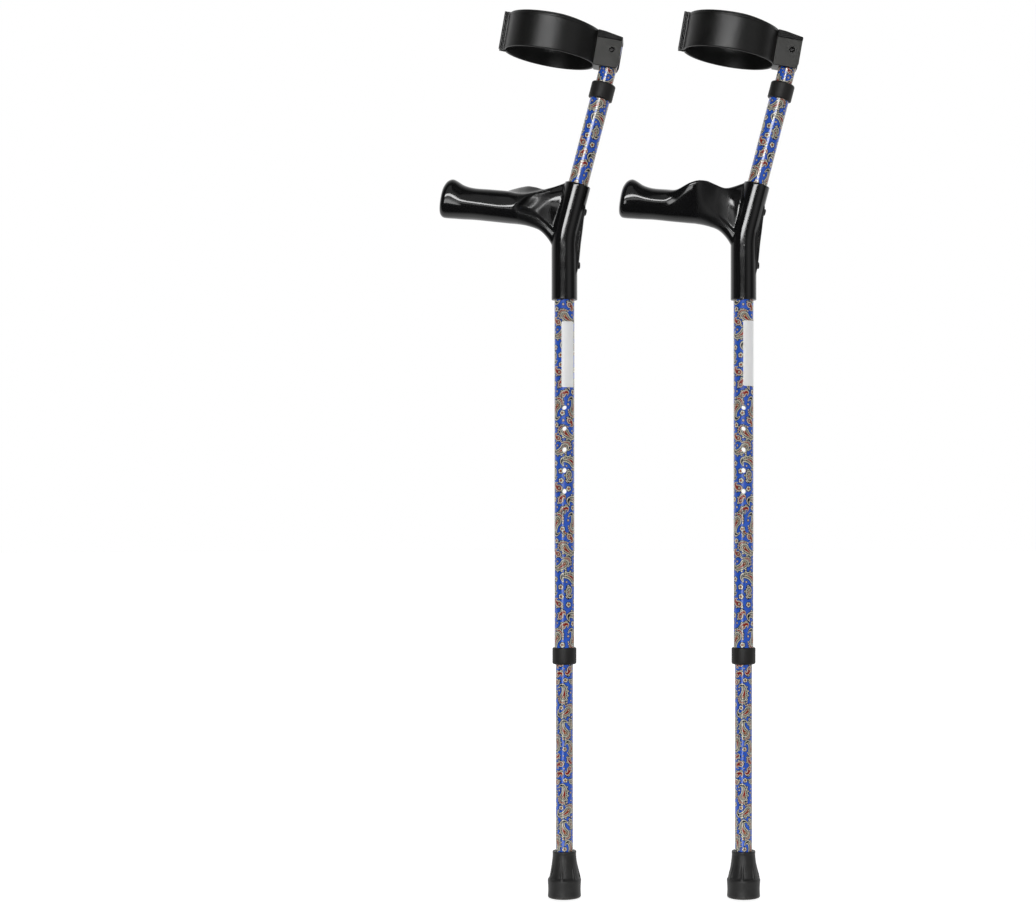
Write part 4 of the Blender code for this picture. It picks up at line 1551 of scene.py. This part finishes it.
# ------------------------------------------------------------ blank sticker
def sticker(a0, a1, z0, z1):
    """A plain patch of white film on the shaft. Angles are degrees from the
    front of the pair, positive towards +x."""
    columns, rows = 40, 60
    r_low, r_high = TUBE_R + 0.03, TUBE_R + 0.11
    corner = 1.3
    verts, faces = [], []

    def grid(radius):
        first = len(verts)
        for k in range(rows + 1):
            z = z0 + (z1 - z0) * k / rows
            inset = 0.0
            edge = min(z - z0, z1 - z)
            if edge < corner:
                inset = corner - math.sqrt(max(0.0, corner**2 - (corner - edge) ** 2))
            inset = math.degrees(inset / TUBE_R)
            for i in range(columns + 1):
                a = math.radians(a0 + inset + (a1 - a0 - 2 * inset) * i / columns)
                verts.append((radius * math.sin(a), -radius * math.cos(a), z))
        return first

    low, high = grid(r_low), grid(r_high)
    w = columns + 1
    for k in range(rows):
        for i in range(columns):
            a = k * w + i
            faces.append((high + a, high + a + 1, high + a + w + 1, high + a + w))
            faces.append((low + a + 1, low + a, low + a + w, low + a + w + 1))
    rim = (
        [i for i in range(columns + 1)]
        + [k * w + columns for k in range(1, rows + 1)]
        + [rows * w + i for i in range(columns - 1, -1, -1)]
        + [k * w for k in range(rows - 1, 0, -1)]
    )
    for a, b in zip(rim, rim[1:] + rim[:1]):
        faces.append((low + a, low + b, high + b, high + a))
    ob = mesh_object("sticker", verts, faces, (MAT["label"],))
    outward(ob)
    shade(ob, 40)
    return ob


# ------------------------------------------------------------ making the pieces
def add_pieces():
    """Each piece is made once in the crutch's own frame and copied to both."""
    made = {
        "upper_tube": (upper_tube(), "frame", "printed_tube"),
        "leg_tube": (leg_tube(), "leg", "printed_tube"),
        "stem_tube": (stem_tube(), "stem", "printed_tube"),
        "leg_collar": (moved(collar(False), shift(0, 0, 256.0)), "frame", "collar_plastic"),
        "stem_collar": (moved(collar(True), FOREARM @ shift(0, 0, 156.0)), "frame", "collar_plastic"),
        "ferrule": (ferrule(), "leg", "black_rubber"),
        "handle": (handle(), "frame", "gloss_black_plastic"),
        "cuff": (cuff(), "cuff_assembly", "satin_black_plastic"),
    }
    button = snap_button()
    at_leg = shift(0, 0, LEG_BUTTON_Z) @ Matrix.Rotation(math.radians(90), 4, "X")
    at_stem = FOREARM @ shift(0, 0, STEM_BUTTON_S) @ Matrix.Rotation(math.radians(-90), 4, "X")
    made["stem_snap_button"] = (copy_of(button, "stem_button", at_stem), "stem_button", "plated_steel")
    made["leg_snap_button"] = (moved(button, at_leg), "leg_button", "plated_steel")
    screw = pan_screw(3.9, 2.2, 2.0, 11.5, 3.8)
    name, at, turn = SCREW_SEATS[0]
    made[name] = (copy_of(screw, name, screw_place(at, turn)), "frame", "dark_steel")
    name, at, turn = SCREW_SEATS[1]
    made[name] = (moved(screw, screw_place(at, turn)), "frame", "dark_steel")
    pivot = pan_screw(2.65, 1.6, 1.75, 28.0, 2.6, 0.8)
    lie = Matrix.Rotation(math.radians(90), 4, "X")
    made["cuff_pivot_screw"] = (
        moved(pivot, CUFF_FRAME @ shift(0, -11.3, 0) @ lie), "cuff_assembly", "dark_steel",
    )
    nut = hex_nut(4.04, 3.0, 1.95)
    made["cuff_pivot_nut"] = (moved(nut, CUFF_FRAME @ shift(0, 14.8, 0) @ lie), "cuff_assembly", "plated_steel")

    mirror = Matrix.Diagonal((1, -1, 1, 1))
    for node, (ob, body, slot) in made.items():
        for prefix, side in PAIR:
            turn = mirror if node == "handle" and side < 0 else Matrix.Identity(4)
            piece = copy_of(ob, f"{prefix}_{node}_look", shift(X0[prefix]) @ turn)
            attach(piece, f"{prefix}_{body}")
            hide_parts(f"{prefix}_{node}")
        bpy.data.objects.remove(ob, do_unlink=True)

    for prefix, (a0, a1, z0, z1) in (
        ("right", (-14.0, 66.0, 560.0, 632.0)),
        ("left", (-4.0, 76.0, 561.5, 633.0)),
    ):
        piece = moved(sticker(a0, a1, z0, z1), shift(X0[prefix]))
        piece.name = f"{prefix}_blank_sticker"
        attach(piece, f"{prefix}_frame")

    for prefix, side in PAIR:
        # each button's spring is carried over from its CAD node as it stands, in spring steel
        for tube, way in (("leg", 1.0), ("stem", -1.0)):
            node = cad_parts[f"{prefix}_{tube}_button_spring"]
            piece = bpy.data.objects.new(f"{prefix}_{tube}_button_spring_look", node.data.copy())
            SCENE.objects.link(piece)
            piece.matrix_world = node.matrix_world.copy()
            piece.data.materials.clear()
            piece.data.materials.append(MAT["spring"])
            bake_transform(piece)
            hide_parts(node.name)

    # carried-over CAD nodes get better materials
    for name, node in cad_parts.items():
        if name.endswith("_washer"):
            node.data.materials.clear()
            node.data.materials.append(MAT["steel"])


add_pieces()


# ------------------------------------------------------------ floor, light, camera
def white_floor():
    """A pale floor that fades into the white surroundings away from the pair."""
    steps, rings = 96, [0.0, 0.3, 0.6, 0.9, 1.3, 2.0, 4.0, 8.0, 16.0]
    verts, faces = [], []
    for r in rings:
        for i in range(steps):
            a = math.tau * i / steps
            verts.append((36.0 + r * 1000 * math.cos(a), r * 1000 * math.sin(a), -0.4))
    for k in range(1, len(rings)):
        for i in range(steps):
            j = (i + 1) % steps
            a, b = (k - 1) * steps, k * steps
            if k == 1:
                faces.append((a, b + i, b + j))
            else:
                faces.append((a + i, b + i, b + j, a + j))
    t = Tree("pale_floor")
    p = t.place()
    away = t.node("ShaderNodeVectorMath", operation="LENGTH")
    t.links.new(p, away.inputs[0])
    place = t.node("ShaderNodeSeparateXYZ")
    t.links.new(p, place.inputs[0])
    cloud = t.noise(p, 3.0, 3.0)
    t.put(Base_Color=t.mix(cloud, srgb(238, 238, 238), srgb(244, 244, 244)), Roughness=0.8, Specular_IOR_Level=0.0)
    glow = t.node("ShaderNodeEmission")
    t.links.new(t.remap(away.outputs["Value"], 0.25, 0.8, FLOOR_GLOW, 1.0), glow.inputs["Strength"])
    seen = t.node("ShaderNodeAddShader")
    t.links.new(t.bsdf.outputs[0], seen.inputs[0])
    t.links.new(glow.outputs[0], seen.inputs[1])
    # what the pieces mirror of it is bright behind them and gone towards the camera
    dim = t.node("ShaderNodeEmission")
    dim.inputs["Strength"].default_value = 0.8
    clear = t.node("ShaderNodeBsdfTransparent")
    mirrored = t.node("ShaderNodeMixShader")
    t.links.new(t.remap(place.outputs["Y"], 0.12, -0.3, 0.0, 1.0), mirrored.inputs[0])
    t.links.new(dim.outputs[0], mirrored.inputs[1])
    t.links.new(clear.outputs[0], mirrored.inputs[2])
    path = t.node("ShaderNodeLightPath")
    blend = t.node("ShaderNodeMixShader")
    t.links.new(path.outputs["Is Camera Ray"], blend.inputs[0])
    t.links.new(mirrored.outputs[0], blend.inputs[1])
    t.links.new(seen.outputs[0], blend.inputs[2])
    t.links.new(blend.outputs[0], t.nodes["Material Output"].inputs["Surface"])
    floor = mesh_object("floor", verts, faces, (t.mat,))


def studio_world():
    """White surroundings behind and beside the pair, a dimmer side towards the
    camera, and soft strip lights painted by direction."""
    world = bpy.data.worlds.new("studio")
    bpy.context.scene.world = world
    world.use_nodes = True
    nt = world.node_tree
    nt.nodes.clear()

    def node(kind, **props):
        n = nt.nodes.new(kind)
        for k, v in props.items():
            setattr(n, k, v)
        return n

    def m(op, a, b=None, c=None, clamp=False):
        n = node("ShaderNodeMath", operation=op, use_clamp=clamp)
        for s, v in zip(n.inputs, (a, b, c)):
            if isinstance(v, bpy.types.NodeSocket):
                nt.links.new(v, s)
            elif v is not None:
                s.default_value = v
        return n.outputs[0]

    def step(value, low, high):
        n = node("ShaderNodeMapRange", interpolation_type="SMOOTHSTEP")
        nt.links.new(value, n.inputs["Value"])
        n.inputs["From Min"].default_value = low
        n.inputs["From Max"].default_value = high
        return n.outputs["Result"]

    def window(value, low, high, soft):
        return m("MULTIPLY", step(value, low - soft, low + soft), m("SUBTRACT", 1.0, step(value, high - soft, high + soft)))

    way = node("ShaderNodeTexCoord").outputs["Generated"]
    xyz = node("ShaderNodeSeparateXYZ")
    nt.links.new(way, xyz.inputs[0])
    x, y, z = xyz.outputs
    turn = m("DEGREES", m("ARCTAN2", x, m("MULTIPLY", y, -1.0)))      # 0 is towards the camera's side
    rise = m("DEGREES", m("ARCSINE", z))
    total = m("MULTIPLY_ADD", m("MULTIPLY_ADD", y, 1.0 / 0.9, 0.2 / 0.9, clamp=True), BEHIND, FRONT)
    for a0, a1, r0, r1, soft_a, soft_r, power in LIGHTS:
        patch = m("MULTIPLY", window(turn, a0, a1, soft_a), window(rise, r0, r1, soft_r))
        total = m("MULTIPLY_ADD", patch, power, total)
    light = node("ShaderNodeBackground")
    nt.links.new(total, light.inputs["Strength"])
    light.inputs["Color"].default_value = (1, 1, 1, 1)
    seen = node("ShaderNodeBackground")
    seen.inputs["Color"].default_value = (1, 1, 1, 1)
    seen.inputs["Strength"].default_value = 1.0
    path = node("ShaderNodeLightPath")
    pick = node("ShaderNodeMixShader")
    nt.links.new(path.outputs["Is Camera Ray"], pick.inputs[0])
    nt.links.new(light.outputs[0], pick.inputs[1])
    nt.links.new(seen.outputs[0], pick.inputs[2])
    out = node("ShaderNodeOutputWorld")
    nt.links.new(pick.outputs[0], out.inputs["Surface"])
    world.cycles.sampling_method = "MANUAL"
    world.cycles.sample_map_resolution = 2048


# azimuth and elevation limits in degrees, their softness, and brightness
LIGHTS = (
    (-30.0, 11.0, 9.8, 16.0, 2.0, 1.0, 13.0),       # long strip, left of the camera and above it
    (-30.0, 7.0, 16.0, 60.0, 3.0, 4.0, 0.35),       # dim light above that
    (-28.0, 8.0, 0.5, 5.6, 5.0, 1.0, 1.5),          # dim strip at the camera's height
    (-27.0, -9.0, -14.0, 0.5, 3.0, 1.2, 4.2),       # small strip low on the left
    (28.0, 62.0, -25.0, 45.0, 20.0, 20.0, 0.42),    # wide dim light on the right
)
BEHIND, FRONT, FLOOR_GLOW = 0.95, 0.03, 0.75
white_floor()
studio_world()
bpy.context.scene.view_settings.view_transform = "Standard"
bpy.context.scene.view_settings.look = "None"


CENTRE = (653.9, 505.9)      # picture column of x = 0.036 and row of the camera's height


def make_camera():
    """Level, looking along +Y, on the framing of the photograph: about 909
    pixels a metre across the pair in a picture 1036 wide."""
    scale, away, height, side = 909.09, 2.1, 0.43, 0.036
    cam = bpy.data.cameras.new("camera")
    cam.sensor_width = 36.0
    cam.lens = 36.0 * scale * away / 1036.0
    # the pair's middle falls at CENTRE in the picture
    cam.shift_x = (518.0 - CENTRE[0]) / 1036.0
    cam.shift_y = (CENTRE[1] - 453.0) / 1036.0
    cam.clip_start, cam.clip_end = 0.05, 60.0
    ob = bpy.data.objects.new("camera", cam)
    ob.matrix_world = Matrix.Translation((side, -away, height)) @ Matrix.Rotation(math.radians(90.0), 4, "X")
    SCENE.objects.link(ob)
    bpy.context.scene.camera = ob


make_camera()

bpy.context.view_layer.update()
